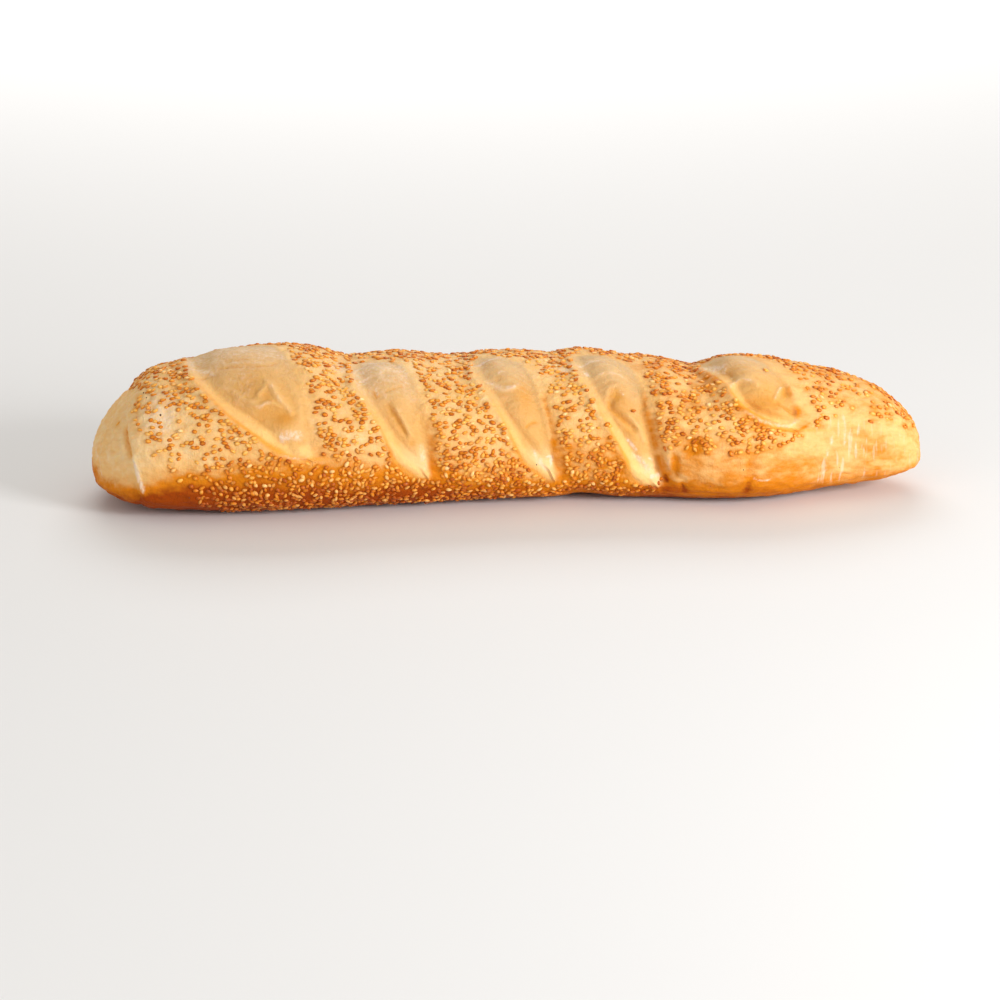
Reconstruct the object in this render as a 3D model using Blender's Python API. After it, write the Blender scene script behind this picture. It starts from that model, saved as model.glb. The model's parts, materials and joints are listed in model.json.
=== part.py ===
"""Sesame baguette: one seeded wheat loaf with five slashes, lying on its flat underside.

The loaf lies along X, its front faces -Y and it stands on Z = 0. A place on the crust is named by x
and by the angle round the loaf: 0 is the front, 90 the crest, 180 the back and 270 the underside.
"""
import math

import bmesh
import bpy
import numpy as np
from mathutils import Matrix, Vector
from mathutils.bvhtree import BVHTree

# Driving dimensions, in metres, degrees and counts
LENGTH = 0.500

# Sections along the loaf: x, half width, crest height, height of the widest line, sideways shift.
SECTIONS = (
    (-0.250, 0.0730, 0.0815, 0.0215, -0.0045),
    (-0.190, 0.0612, 0.0895, 0.0275, -0.0050),
    (-0.130, 0.0590, 0.0893, 0.0345, -0.0030),
    (-0.060, 0.0558, 0.0806, 0.0375, 0.0030),
    (0.010, 0.0530, 0.0812, 0.0380, 0.0085),
    (0.080, 0.0525, 0.0775, 0.0365, 0.0065),
    (0.145, 0.0540, 0.0797, 0.0332, 0.0000),
    (0.200, 0.0510, 0.0735, 0.0306, 0.0025),
    (0.250, 0.0580, 0.0720, 0.0205, -0.0050),
)
# Swells and dips of the crest line: x, rise, half length.
CREST_WAVES = (
    (-0.212, 0.0026, 0.011),
    (-0.187, -0.0007, 0.014),
    (-0.141, 0.0011, 0.018),
    (-0.098, -0.0037, 0.013),
    (-0.062, 0.0023, 0.012),
    (-0.030, -0.0014, 0.013),
    (0.026, -0.0017, 0.011),
    (0.058, 0.0017, 0.014),
    (0.112, -0.0063, 0.015),
    (0.150, 0.0005, 0.018),
)
# How bluntly the left and the right end round off, seen from above, over the top and underneath.
PLAN_BLUNTNESS = (5.4, 3.8)
TOP_BLUNTNESS = (6.2, 6.8)
UNDER_BLUNTNESS = (7.6, 4.6)
UPPER_ROUNDNESS = 2.15
LOWER_ROUNDNESS = 2.9
# How far down the section the ends turn from their rounding in plan to the one underneath.
UNDER_BLEND = (-0.25, 0.90)
FLAT_SINK = 0.002
# Angles round the loaf are counted from here, so that the slashes lie in one stretch.
FIRST_ANGLE = -135

# Each slash runs from a low tip to the crest. Its lip is the raised left edge, its foot the right one,
# each given as (angle, x) from the tip up. Its step is the share of its depth that is left at the foot.
SLASHES = (
    {
        "lip": ((2, -0.117), (5, -0.129), (11, -0.1385), (21, -0.150), (34, -0.165), (60, -0.184), (109, -0.195)),
        "foot": ((2, -0.1155), (30, -0.1185), (60, -0.1255), (86, -0.1365), (109, -0.150)),
        "depth": 0.0044,
        "step": 0.35,
    },
    {
        "lip": ((-21, -0.0495), (-14, -0.054), (1, -0.065), (30, -0.0805), (60, -0.0925), (84, -0.094)),
        "foot": ((-21, -0.0480), (30, -0.051), (55, -0.056), (72, -0.063), (84, -0.071)),
        "depth": 0.0058,
        "step": 0.70,
    },
    {
        "lip": ((-29, 0.0256), (-20, 0.0215), (-9, 0.0128), (8, 0.0023), (36, -0.0102), (65, -0.0205), (88, -0.022)),
        "foot": ((-29, 0.0270), (20, 0.021), (37, 0.0187), (54, 0.0147), (71, 0.0088), (88, -0.002)),
        "depth": 0.0056,
        "step": 0.62,
    },
    {
        "lip": ((-34, 0.0857), (-27, 0.080), (-17, 0.0726), (2, 0.0644), (37, 0.0498), (64, 0.0408), (93, 0.038)),
        "foot": ((-34, 0.0892), (-20, 0.0872), (2, 0.0826), (35, 0.0789), (68, 0.0745), (93, 0.060)),
        "depth": 0.0056,
        "step": 0.80,
    },
    {
        "lip": ((19, 0.1702), (21, 0.1591), (25, 0.1516), (30, 0.1446), (38, 0.1367), (57, 0.1282), (75, 0.1202),
                (102, 0.114)),
        "foot": ((19, 0.1715), (34, 0.1690), (60, 0.164), (83, 0.153), (102, 0.142)),
        "depth": 0.0036,
        "step": 0.30,
    },
)
GIRTH_RADIUS = 0.055
# The bevel under the lip, and how far beyond and inside the foot the shoulder reaches.
BEVEL = 0.0065
SHOULDER = (-0.0115, 0.003)
FLOOR_RISE = 0.0028
LIP_RISE = 0.0009
LIP_WIDTH = 0.0028
LIP_END = (-0.002, 0.004)
# The soft valley beyond the foot: its depth, how far from the foot it lies, its reach and its start.
VALLEY = 0.0015
VALLEY_PLACE = -0.002
VALLEY_REACH = 0.015
VALLEY_START = (-0.012, 0.010)
# The shares of its length over which a slash turns shallow, and the share of its depth that is left.
LOW_SHARES = (0.45, 0.85)
TOP_DEPTH_SHARE = 0.18
TIP_FADE = (-0.004, 0.007)
TOP_FADE = (0.0, 0.014)
END_FADE = (0.0, 0.010)
LEAST_WIDTH = 0.00001

# The pinched cap at the left end. Its crease, as (angle, x), is a groove with a step up behind it,
# which settles again over a distance, and it fades out between two angles in front and behind.
CREASE = ((-50, -0.2170), (0, -0.2205), (40, -0.2255), (90, -0.2270), (150, -0.2230))
CREASE_STEP = 0.0012
CREASE_STEP_WIDTH = 0.001
CREASE_SETTLING = (0.004, 0.030)
CREASE_DEPTH = 0.0008
CREASE_WIDTH = 0.0022
CREASE_FRONT_FADE = (-70, -40)
CREASE_BACK_FADE = (150, 190)

# The swelling behind the crest and the lifted stretch of the hem.
BACK_SWELL = {"x": 0.042, "angle": 112, "rise": 0.0018, "long": 0.013, "wide": 0.012}
LIFTED_HEM = {"x": 0.045, "rise": 0.0034, "long": 0.013}

# Mesh
SEGMENTS = 40
FRONT_CROWDING = 0.35
CROWDED_ANGLE = 45
SLASH_RINGS = (0.0, 0.14, 0.38, 0.66, 0.88)
BAND_RINGS = (0.0, 0.22, 0.50, 0.78)
END_RINGS = 11
LEAST_SLASH_GAP = 0.010
BACK_SPREAD = 0.006
BACK_ANGLES = (-130, 215)

# Sesame seeds
SEED_LENGTH = 0.0034
SEED_WIDTH = 0.0021
SEED_THICKNESS = 0.0014
SEED_SIDES = 5
SEED_ROWS = 4
SEED_COUNT = 140
SEED_SPACING = 0.0115
SEED_TRIES = 6000
SEED_SINK = 0.30
SEED_MARGIN = 0.0022
SEEDLESS_SHOULDER = 0.0075
SEED_ENDS = (-0.205, 0.238)
SEED_BACK = 205
# The lowest angle that the seeds reach in front, by x
SEED_HEM = ((0.084, -38), (0.086, 4), (0.145, 4), (0.238, 28))
SEED_DRAW = 7

CRUST_COLOUR = (0.80, 0.52, 0.24, 1.0)
CRUST_ROUGHNESS = 0.55


def curve(places, values, at):
    """A smooth curve through the given values, read at one place or at many."""
    places, values = np.asarray(places, float), np.asarray(values, float)
    slopes = np.gradient(values, places)
    i = np.clip(np.searchsorted(places, at) - 1, 0, len(places) - 2)
    step = places[i + 1] - places[i]
    t = np.clip((at - places[i]) / step, 0.0, 1.0)
    start = (2 * t**3 - 3 * t**2 + 1) * values[i] + (t**3 - 2 * t**2 + t) * step * slopes[i]
    finish = (3 * t**2 - 2 * t**3) * values[i + 1] + (t**3 - t**2) * step * slopes[i + 1]
    return start + finish


def ramp(value, low, high):
    """Rises smoothly from 0 at low to 1 at high."""
    t = np.clip((value - low) / (high - low), 0.0, 1.0)
    return t * t * (3 - 2 * t)


def hill(distance, reach):
    return np.exp(-((distance / reach) ** 2))


def front_angle(angle):
    """The same angle, counted on from the first one."""
    return (np.asarray(angle, float) - FIRST_ANGLE) % 360 + FIRST_ANGLE


def rounding(x, bluntness):
    left, right = bluntness
    share = np.abs(x) / (LENGTH / 2)
    return np.sqrt(np.clip(1 - share ** np.where(x < 0, left, right), 0.0, 1.0))


def envelope(x, angle):
    """The loaf without slashes: a rounded section that narrows and sinks towards both ends."""
    table = np.array(SECTIONS)
    half_width, crest, middle, shift = (curve(table[:, 0], table[:, k], x) for k in range(1, 5))
    for place, rise, reach in CREST_WAVES:
        crest = crest + rise * hill(x - place, reach)
    across, upward = np.cos(np.radians(angle)), np.sin(np.radians(angle))
    above = upward >= 0
    power = np.where(above, UPPER_ROUNDNESS, LOWER_ROUNDNESS)
    reach = (np.abs(across) ** power + np.abs(upward) ** power) ** (-1 / power)
    low = ramp(-upward, *UNDER_BLEND)
    plan = rounding(x, PLAN_BLUNTNESS) * (1 - low) + rounding(x, UNDER_BLUNTNESS) * low
    lifted = LIFTED_HEM["rise"] * hill(x - LIFTED_HEM["x"], LIFTED_HEM["long"]) * (across > 0)
    height_above = (crest - middle) * rounding(x, TOP_BLUNTNESS)
    height_below = (middle + FLAT_SINK - lifted) * rounding(x, UNDER_BLUNTNESS)
    height = np.where(above, height_above, height_below)
    y = shift - half_width * plan * reach * across
    z = middle + height * reach * upward
    return np.stack([x + 0 * y, y, z], -1)


def outward(x, angle):
    """The unit normal of the envelope."""
    step_x, step_angle = 0.0005, 0.5
    inner = np.clip(x, -LENGTH / 2 + 2 * step_x, LENGTH / 2 - 2 * step_x)
    along = envelope(inner + step_x, angle) - envelope(inner - step_x, angle)
    around = envelope(inner, angle + step_angle) - envelope(inner, angle - step_angle)
    normal = np.cross(along, around)
    return normal / np.linalg.norm(normal, axis=-1, keepdims=True)


def slash_edges(slash, angle):
    """Where the lip and the foot of a slash lie at an angle."""
    lip_angles, lip_places = zip(*slash["lip"])
    foot_angles, foot_places = zip(*slash["foot"])
    inside = np.clip(angle, lip_angles[0], lip_angles[-1])
    return curve(lip_angles, lip_places, inside), curve(foot_angles, foot_places, inside)


def slash_distances(slash, x, angle):
    """Distances over the crust from the lip, the foot, the tip and the top, positive inside."""
    turn = 1.0
    lip, foot = slash_edges(slash, angle)
    next_lip, next_foot = slash_edges(slash, angle + turn)
    last_lip, last_foot = slash_edges(slash, angle - turn)
    arc = 2 * math.radians(turn) * GIRTH_RADIUS
    from_lip = (x - lip) / np.hypot(1, (next_lip - last_lip) / arc)
    from_foot = (foot - x) / np.hypot(1, (next_foot - last_foot) / arc)
    from_tip = np.radians(angle - slash["lip"][0][0]) * GIRTH_RADIUS
    from_top = np.radians(slash["lip"][-1][0] - angle) * GIRTH_RADIUS
    return from_lip, from_foot, from_tip, from_top


def slash_low(slash, from_tip):
    """1 in the low, deep part of a slash and 0 near the crest, where it is shallow."""
    length = np.radians(slash["lip"][-1][0] - slash["lip"][0][0]) * GIRTH_RADIUS
    return 1 - ramp(from_tip / length, *LOW_SHARES)


def slash_relief(slash, x, angle):
    """A steep bevel under the lip, a pillowed floor and a soft shoulder beyond the foot."""
    from_lip, from_foot, from_tip, from_top = slash_distances(slash, x, angle)
    low = slash_low(slash, from_tip)
    within = ramp(from_tip, *TIP_FADE) * ramp(from_top, *TOP_FADE)
    bevel = ramp(from_lip, 0, BEVEL)
    shoulder = ramp(from_foot, *SHOULDER)
    share = np.clip(from_lip / np.maximum(from_lip + from_foot, LEAST_WIDTH), 0, 1)
    depth = slash["depth"] * (1 - (1 - slash["step"]) * share) * (TOP_DEPTH_SHARE + (1 - TOP_DEPTH_SHARE) * low)
    floor = bevel * shoulder * within * depth
    pillow = FLOOR_RISE * np.sin(np.pi * share) ** 2 * within
    lip = LIP_RISE * hill(from_lip + LIP_WIDTH / 2, LIP_WIDTH) * ramp(from_foot, *LIP_END) * within
    valley = VALLEY * hill(from_foot - VALLEY_PLACE, VALLEY_REACH) * ramp(from_tip, *VALLEY_START) * low
    return lip + pillow - floor - valley


def relief(x, angle):
    """How far the crust stands out from the envelope."""
    angle = front_angle(angle)
    height = sum(slash_relief(slash, x, angle) for slash in SLASHES)
    crease_angles, crease_places = zip(*CREASE)
    from_crease = x - curve(crease_angles, crease_places, np.clip(angle, crease_angles[0], crease_angles[-1]))
    upper = ramp(angle, *CREASE_FRONT_FADE) * (1 - ramp(angle, *CREASE_BACK_FADE))
    step = ramp(from_crease, -CREASE_STEP_WIDTH, CREASE_STEP_WIDTH) - ramp(from_crease, *CREASE_SETTLING)
    height = height + upper * (CREASE_STEP * step - CREASE_DEPTH * hill(from_crease, CREASE_WIDTH))
    swell_arc = np.radians(angle - BACK_SWELL["angle"]) * GIRTH_RADIUS
    swell = hill(x - BACK_SWELL["x"], BACK_SWELL["long"]) * hill(swell_arc, BACK_SWELL["wide"])
    height = height + BACK_SWELL["rise"] * swell
    return height * ramp(LENGTH / 2 - np.abs(x), *END_FADE)


def crust(x, angle):
    """The point of the finished crust, cut flat where the loaf lies on its underside."""
    point = envelope(x, angle) + outward(x, angle) * relief(x, angle)[..., None]
    point[..., 2] = np.maximum(point[..., 2], 0.0)
    return point


def guide_lines(angle):
    """The lips and feet in order along the loaf, led round the back, between the two ends."""
    angle = front_angle(angle)
    lines = [np.full_like(angle, -LENGTH / 2)]
    for slash in SLASHES:
        tip, top = slash["lip"][0][0], slash["lip"][-1][0]
        lip, foot = slash_edges(slash, angle)
        short = np.maximum(LEAST_SLASH_GAP - (foot - lip), 0) / 2
        lip, foot = lip - short, foot + short
        outside = np.maximum(ramp(angle, top, BACK_ANGLES[1]), ramp(-angle, -tip, -BACK_ANGLES[0]))
        lines.append(lip * (1 - outside) + (middle_of(slash["lip"]) - BACK_SPREAD) * outside)
        lines.append(foot * (1 - outside) + (middle_of(slash["foot"]) + BACK_SPREAD) * outside)
    lines.append(np.full_like(angle, LENGTH / 2))
    return lines


def middle_of(edge):
    """The x halfway between both ends of a lip or foot."""
    return (edge[0][1] + edge[-1][1]) / 2


def ring_shares():
    """Every ring between the ends: the guide line that it follows and its share of the way on."""
    closing = [1 - (1 - k / END_RINGS) ** 2 for k in range(END_RINGS)]
    rings = [(0, 1 - share) for share in reversed(closing[1:])]
    for number in range(1, 2 * len(SLASHES)):
        shares = SLASH_RINGS if number % 2 else BAND_RINGS
        rings += [(number, share) for share in shares]
    rings += [(2 * len(SLASHES), share) for share in closing]
    return rings


def ring_place(ring, angle):
    """Where a ring crosses an angle, so that rings run along the slashes and not across them."""
    number, share = ring
    lines = guide_lines(angle)
    return lines[number] * (1 - share) + lines[number + 1] * share


def crowded(turn):
    """Angles that lie closer together over the front and the crest."""
    return turn - math.degrees(FRONT_CROWDING) * np.sin(np.radians(turn - CROWDED_ANGLE))


def make_body():
    """A sphere drawn out along X, each of its rings laid along the crust."""
    rings = ring_shares()
    last = len(rings) + 1
    shaped = bmesh.new()
    bmesh.ops.create_uvsphere(shaped, u_segments=SEGMENTS, v_segments=last, radius=1.0)
    ball = np.array([vertex.co for vertex in shaped.verts])
    numbers = np.rint(np.degrees(np.arccos(np.clip(-ball[:, 2], -1, 1))) * last / 180).astype(int)
    angles = crowded(np.degrees(np.arctan2(ball[:, 1], ball[:, 0])))
    places = np.copysign(LENGTH / 2, ball[:, 2])
    for number, ring in enumerate(rings, 1):
        chosen = numbers == number
        places[chosen] = ring_place(ring, angles[chosen])
    for vertex, point in zip(shaped.verts, crust(places, angles)):
        vertex.co = point
    bmesh.ops.triangulate(shaped, faces=shaped.faces)
    bmesh.ops.recalc_face_normals(shaped, faces=shaped.faces)
    mesh = bpy.data.meshes.new("loaf")
    shaped.to_mesh(mesh)
    shaped.free()
    return bpy.data.objects.new("loaf", mesh)


def seeded(x, angle):
    """Where seeds cling: not in a slash or on its shoulder, on the ends or underneath."""
    clings = (x > SEED_ENDS[0]) & (x < SEED_ENDS[1]) & (angle > np.interp(x, *zip(*SEED_HEM))) & (angle < SEED_BACK)
    for slash in SLASHES:
        from_lip, from_foot, from_tip, from_top = slash_distances(slash, x, angle)
        across = np.minimum(from_lip + SEED_MARGIN, from_foot + SEEDLESS_SHOULDER)
        along = np.minimum(from_tip, from_top) + SEED_MARGIN
        clings &= np.minimum(across, along) < 0
    return clings


def seed_places(body):
    """Evenly spread places, drawn at random and kept where they are far enough from the others."""
    draw = np.random.default_rng(SEED_DRAW)
    x = draw.uniform(*SEED_ENDS, SEED_TRIES)
    angle = draw.uniform(SEED_HEM[0][1], SEED_BACK, SEED_TRIES)
    turns = draw.uniform(0, math.pi, SEED_TRIES)
    keep = seeded(x, angle)
    faces = BVHTree.FromPolygons(
        [vertex.co for vertex in body.data.vertices], [face.vertices for face in body.data.polygons]
    )
    chosen = []
    for point, turn in zip(crust(x, angle)[keep], turns[keep]):
        place, normal, _, _ = faces.find_nearest(Vector(point))
        far = all((place - other).length > SEED_SPACING for other, _, _ in chosen)
        if far and len(chosen) < SEED_COUNT:
            chosen.append((place, normal, turn))
    return chosen


def make_seeds(body, collection):
    """Flat oval seeds lying on the crust, each sunk a little into it."""
    size = Matrix.Diagonal((SEED_WIDTH, SEED_THICKNESS, SEED_LENGTH, 1.0))
    for number, (place, normal, turn) in enumerate(seed_places(body)):
        level = Vector((1, 0, 0)).cross(normal).normalized()
        length_way = Matrix.Rotation(turn, 3, normal) @ level
        lie = Matrix((length_way.cross(normal), normal, length_way)).transposed().to_4x4()
        centre = place + normal * SEED_THICKNESS * (0.5 - SEED_SINK)
        oval = bmesh.new()
        bmesh.ops.create_uvsphere(oval, u_segments=SEED_SIDES, v_segments=SEED_ROWS, radius=0.5)
        bmesh.ops.transform(oval, matrix=Matrix.Translation(centre) @ lie @ size, verts=oval.verts)
        bmesh.ops.recalc_face_normals(oval, faces=oval.faces)
        mesh = bpy.data.meshes.new(f"seed_{number:03d}")
        oval.to_mesh(mesh)
        oval.free()
        collection.objects.link(bpy.data.objects.new(mesh.name, mesh))


def fuse(body, toppings):
    """Joins every object of a collection to the body and removes the collection."""
    union = body.modifiers.new("seeds", "BOOLEAN")
    union.operation = "UNION"
    union.operand_type = "COLLECTION"
    union.collection = toppings
    union.solver = "EXACT"
    bpy.context.view_layer.update()
    joined = bpy.data.meshes.new_from_object(body.evaluated_get(bpy.context.evaluated_depsgraph_get()))
    body.modifiers.remove(union)
    plain = body.data
    body.data = joined
    bpy.data.meshes.remove(plain)
    joined.name = body.name
    for topping in list(toppings.objects):
        mesh = topping.data
        bpy.data.objects.remove(topping)
        bpy.data.meshes.remove(mesh)
    bpy.data.collections.remove(toppings)


def crust_material():
    material = bpy.data.materials.new("crust")
    material.use_nodes = True
    shader = material.node_tree.nodes["Principled BSDF"]
    shader.inputs["Base Color"].default_value = CRUST_COLOUR
    shader.inputs["Roughness"].default_value = CRUST_ROUGHNESS
    shader.inputs["Metallic"].default_value = 0.0
    return material


def main():
    for old in list(bpy.data.objects):
        bpy.data.objects.remove(old, do_unlink=True)
    baguette = bpy.data.collections.new("sesame_baguette")
    seeds = bpy.data.collections.new("seeds")
    bpy.context.scene.collection.children.link(baguette)
    bpy.context.scene.collection.children.link(seeds)
    loaf = make_body()
    baguette.objects.link(loaf)
    make_seeds(loaf, seeds)
    fuse(loaf, seeds)
    loaf.data.materials.clear()
    loaf.data.materials.append(crust_material())
    loaf.data.shade_smooth()


if __name__ == "__main__":
    main()
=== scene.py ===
"""Sesame baguette: its crust, its sesame seeds, the burnt flecks on it and a plain stage.

The loaf lies along X, its front faces -Y and it stands on Z = 0. A place on the crust is named by x
and by the angle round the loaf: 0 is the front, 90 the crest, 180 the back and 270 the underside.
Sizes are in metres and places round the loaf in degrees.
"""

import json
import math

import bmesh
import bpy
import numpy as np
from bpy.props import FloatProperty, FloatVectorProperty, IntProperty, PointerProperty
from mathutils import Matrix, Vector
from mathutils.kdtree import KDTree

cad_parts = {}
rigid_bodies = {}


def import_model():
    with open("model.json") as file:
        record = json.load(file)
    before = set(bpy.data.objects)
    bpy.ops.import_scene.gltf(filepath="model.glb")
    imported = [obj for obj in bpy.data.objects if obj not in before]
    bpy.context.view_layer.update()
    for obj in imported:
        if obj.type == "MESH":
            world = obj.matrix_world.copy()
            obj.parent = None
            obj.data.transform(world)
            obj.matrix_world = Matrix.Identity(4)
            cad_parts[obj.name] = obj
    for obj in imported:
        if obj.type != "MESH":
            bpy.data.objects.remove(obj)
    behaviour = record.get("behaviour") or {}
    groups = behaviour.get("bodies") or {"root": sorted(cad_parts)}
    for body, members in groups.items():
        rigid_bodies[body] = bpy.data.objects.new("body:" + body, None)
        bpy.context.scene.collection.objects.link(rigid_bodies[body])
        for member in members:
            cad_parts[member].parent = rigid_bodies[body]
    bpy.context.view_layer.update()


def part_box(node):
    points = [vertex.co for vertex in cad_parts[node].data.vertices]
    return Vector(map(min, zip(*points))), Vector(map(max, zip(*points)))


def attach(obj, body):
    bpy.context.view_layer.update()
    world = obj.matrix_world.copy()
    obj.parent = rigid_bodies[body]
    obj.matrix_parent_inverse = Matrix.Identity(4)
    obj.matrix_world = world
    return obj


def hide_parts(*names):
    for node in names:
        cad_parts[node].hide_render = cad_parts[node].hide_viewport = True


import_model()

bl_info = {
    "name": "Sesame Baguette",
    "version": (1, 0, 0),
    "blender": (4, 5, 0),
    "location": "View3D > Sidebar > Baguette",
    "description": "Bakes a slashed loaf and sprinkles it with sesame seeds",
    "category": "Add Mesh",
}

LOAF = "loaf"
LENGTH = round(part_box(LOAF)[1].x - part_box(LOAF)[0].x, 3)

# The loaf without slashes: x, half width, crest height, height of the widest line, sideways shift.
SECTIONS = (
    (-0.250, 0.0730, 0.0815, 0.0215, -0.0045),
    (-0.190, 0.0612, 0.0895, 0.0275, -0.0050),
    (-0.130, 0.0590, 0.0893, 0.0345, -0.0030),
    (-0.060, 0.0558, 0.0806, 0.0375, 0.0030),
    (0.010, 0.0530, 0.0812, 0.0380, 0.0085),
    (0.080, 0.0525, 0.0775, 0.0365, 0.0065),
    (0.145, 0.0540, 0.0797, 0.0332, 0.0000),
    (0.200, 0.0510, 0.0735, 0.0306, 0.0025),
    (0.250, 0.0580, 0.0720, 0.0205, -0.0050),
)
# Swells and dips of the crest line: x, rise, half length.
CREST_WAVES = (
    (-0.212, 0.0026, 0.011),
    (-0.187, -0.0007, 0.014),
    (-0.141, 0.0011, 0.018),
    (-0.098, -0.0037, 0.013),
    (-0.062, 0.0023, 0.012),
    (-0.030, -0.0014, 0.013),
    (0.026, -0.0017, 0.011),
    (0.058, 0.0017, 0.014),
    (0.112, -0.0063, 0.015),
    (0.150, 0.0005, 0.018),
)
# How bluntly the left and the right end round off, seen from above, over the top and underneath.
PLAN_BLUNTNESS = (5.4, 3.8)
TOP_BLUNTNESS = (6.2, 6.8)
UNDER_BLUNTNESS = (7.6, 4.6)
UPPER_ROUNDNESS = 2.15
LOWER_ROUNDNESS = 2.9
# How far down the section the ends turn from their rounding in plan to the one underneath.
UNDER_BLEND = (-0.25, 0.90)
FLAT_SINK = 0.002
# Angles round the loaf are counted from here, so that the slashes lie in one stretch.
FIRST_ANGLE = -135

# Each slash runs from a low tip to the crest. Its lip is the raised left edge, its foot the right one,
# each given as (angle, x) from the tip up. Its step is the share of its depth that is left at the foot.
# Then how dusty it is near the crest and how pale its tip is, the width of the strip under its lip,
# the width of the bare crust beyond its foot and how strongly painted shade, with some browning,
# darkens it, and how much wider than its groove the opened crust is near the tip, which ends at a
# distance up from it.
SLASHES = (
    {
        "lip": ((2, -0.117), (5, -0.129), (11, -0.1385), (21, -0.150), (34, -0.165), (60, -0.184),
                (109, -0.195)),
        "foot": ((2, -0.1155), (30, -0.1185), (60, -0.1255), (86, -0.1365), (109, -0.150)),
        "depth": 0.0044,
        "step": 0.35,
        "dust": 0.70,
        "pale tip": 0.25,
        "strip": 0.0085,
        "bare": 0.0050,
        "foot shade": 0.15,
        "spread": 0.0,
        "spread end": 0.05,
    },
    {
        "lip": ((-21, -0.0495), (-14, -0.054), (1, -0.065), (30, -0.0805), (60, -0.0925), (84, -0.094)),
        "foot": ((-21, -0.0480), (30, -0.051), (55, -0.056), (72, -0.063), (84, -0.071)),
        "depth": 0.0058,
        "step": 0.70,
        "dust": 0.60,
        "pale tip": 0.75,
        "strip": 0.0060,
        "bare": 0.0055,
        "foot shade": 0.52,
        "spread": 0.0072,
        "spread end": 0.046,
    },
    {
        "lip": ((-29, 0.0256), (-20, 0.0215), (-9, 0.0128), (8, 0.0023), (36, -0.0102), (65, -0.0205),
                (88, -0.022)),
        "foot": ((-29, 0.0270), (20, 0.021), (37, 0.0187), (54, 0.0147), (71, 0.0088), (88, -0.002)),
        "depth": 0.0056,
        "step": 0.62,
        "dust": 0.22,
        "pale tip": 0.90,
        "strip": 0.0048,
        "bare": 0.0062,
        "foot shade": 0.78,
        "spread": 0.0074,
        "spread end": 0.048,
    },
    {
        "lip": ((-34, 0.0857), (-27, 0.080), (-17, 0.0726), (2, 0.0644), (37, 0.0498), (64, 0.0408),
                (93, 0.038)),
        "foot": ((-34, 0.0892), (-20, 0.0872), (2, 0.0826), (35, 0.0789), (68, 0.0745), (93, 0.060)),
        "depth": 0.0056,
        "step": 0.80,
        "dust": 0.25,
        "pale tip": 1.0,
        "strip": 0.0062,
        "bare": 0.0065,
        "foot shade": 0.14,
        "spread": 0.0078,
        "spread end": 0.026,
    },
    {
        "lip": ((19, 0.1702), (21, 0.1591), (25, 0.1516), (30, 0.1446), (38, 0.1367), (57, 0.1282),
                (75, 0.1202), (102, 0.114)),
        "foot": ((19, 0.1715), (34, 0.1690), (60, 0.164), (83, 0.153), (102, 0.142)),
        "depth": 0.0036,
        "step": 0.30,
        "dust": 0.35,
        "pale tip": 0.15,
        "strip": 0.0060,
        "bare": 0.0110,
        "foot shade": 0.30,
        "spread": 0.0,
        "spread end": 0.05,
    },
)
GIRTH_RADIUS = 0.055
# The bevel under the lip, and how far beyond and inside the foot the shoulder reaches.
BEVEL = 0.0065
SHOULDER = (-0.0115, 0.003)
FLOOR_RISE = 0.0028
LIP_RISE = 0.0009
LIP_WIDTH = 0.0028
LIP_END = (-0.002, 0.004)
# The soft valley beyond the foot: its depth, how far from the foot it lies, its reach and its start.
VALLEY = 0.0015
VALLEY_PLACE = -0.002
VALLEY_REACH = 0.015
VALLEY_START = (-0.012, 0.010)
# The shares of its length over which a slash turns shallow, and the share of its depth that is left.
LOW_SHARES = (0.45, 0.85)
TOP_DEPTH_SHARE = 0.18
TIP_FADE = (-0.004, 0.007)
TOP_FADE = (0.0, 0.014)
END_FADE = (0.0, 0.010)
LEAST_WIDTH = 0.00001

# The pinched cap at the left end. Its crease, as (angle, x), is a groove with a step up behind it,
# which settles again over a distance, and it fades out between two angles in front and behind.
CREASE = ((-50, -0.2170), (0, -0.2205), (40, -0.2255), (90, -0.2270), (150, -0.2230))
CREASE_STEP = 0.0012
CREASE_STEP_WIDTH = 0.001
CREASE_SETTLING = (0.004, 0.030)
CREASE_DEPTH = 0.0008
CREASE_WIDTH = 0.0022
CREASE_FRONT_FADE = (-70, -40)
CREASE_BACK_FADE = (150, 190)

# The swelling behind the crest and the lifted stretch of the hem.
BACK_SWELL = {"x": 0.042, "angle": 112, "rise": 0.0018, "long": 0.013, "wide": 0.012}
LIFTED_HEM = {"x": 0.045, "rise": 0.0034, "long": 0.013}

# Grid of the crust: rings from left to right in the left end, then in each slash and each band
# between two slashes, then in the right end; and the points of each ring.
RINGS = (80, 40, 36, 26, 38, 26, 30, 26, 44, 32, 56)
RING_POINTS = 214
FRONT_CROWDING = 0.45
CROWDED_ANGLE = 35
TIP_CROWDING = 0.72
LEAST_SLASH_GAP = 0.010
BACK_SPREAD = 0.006
BACK_ANGLES = (-130, 215)

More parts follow.
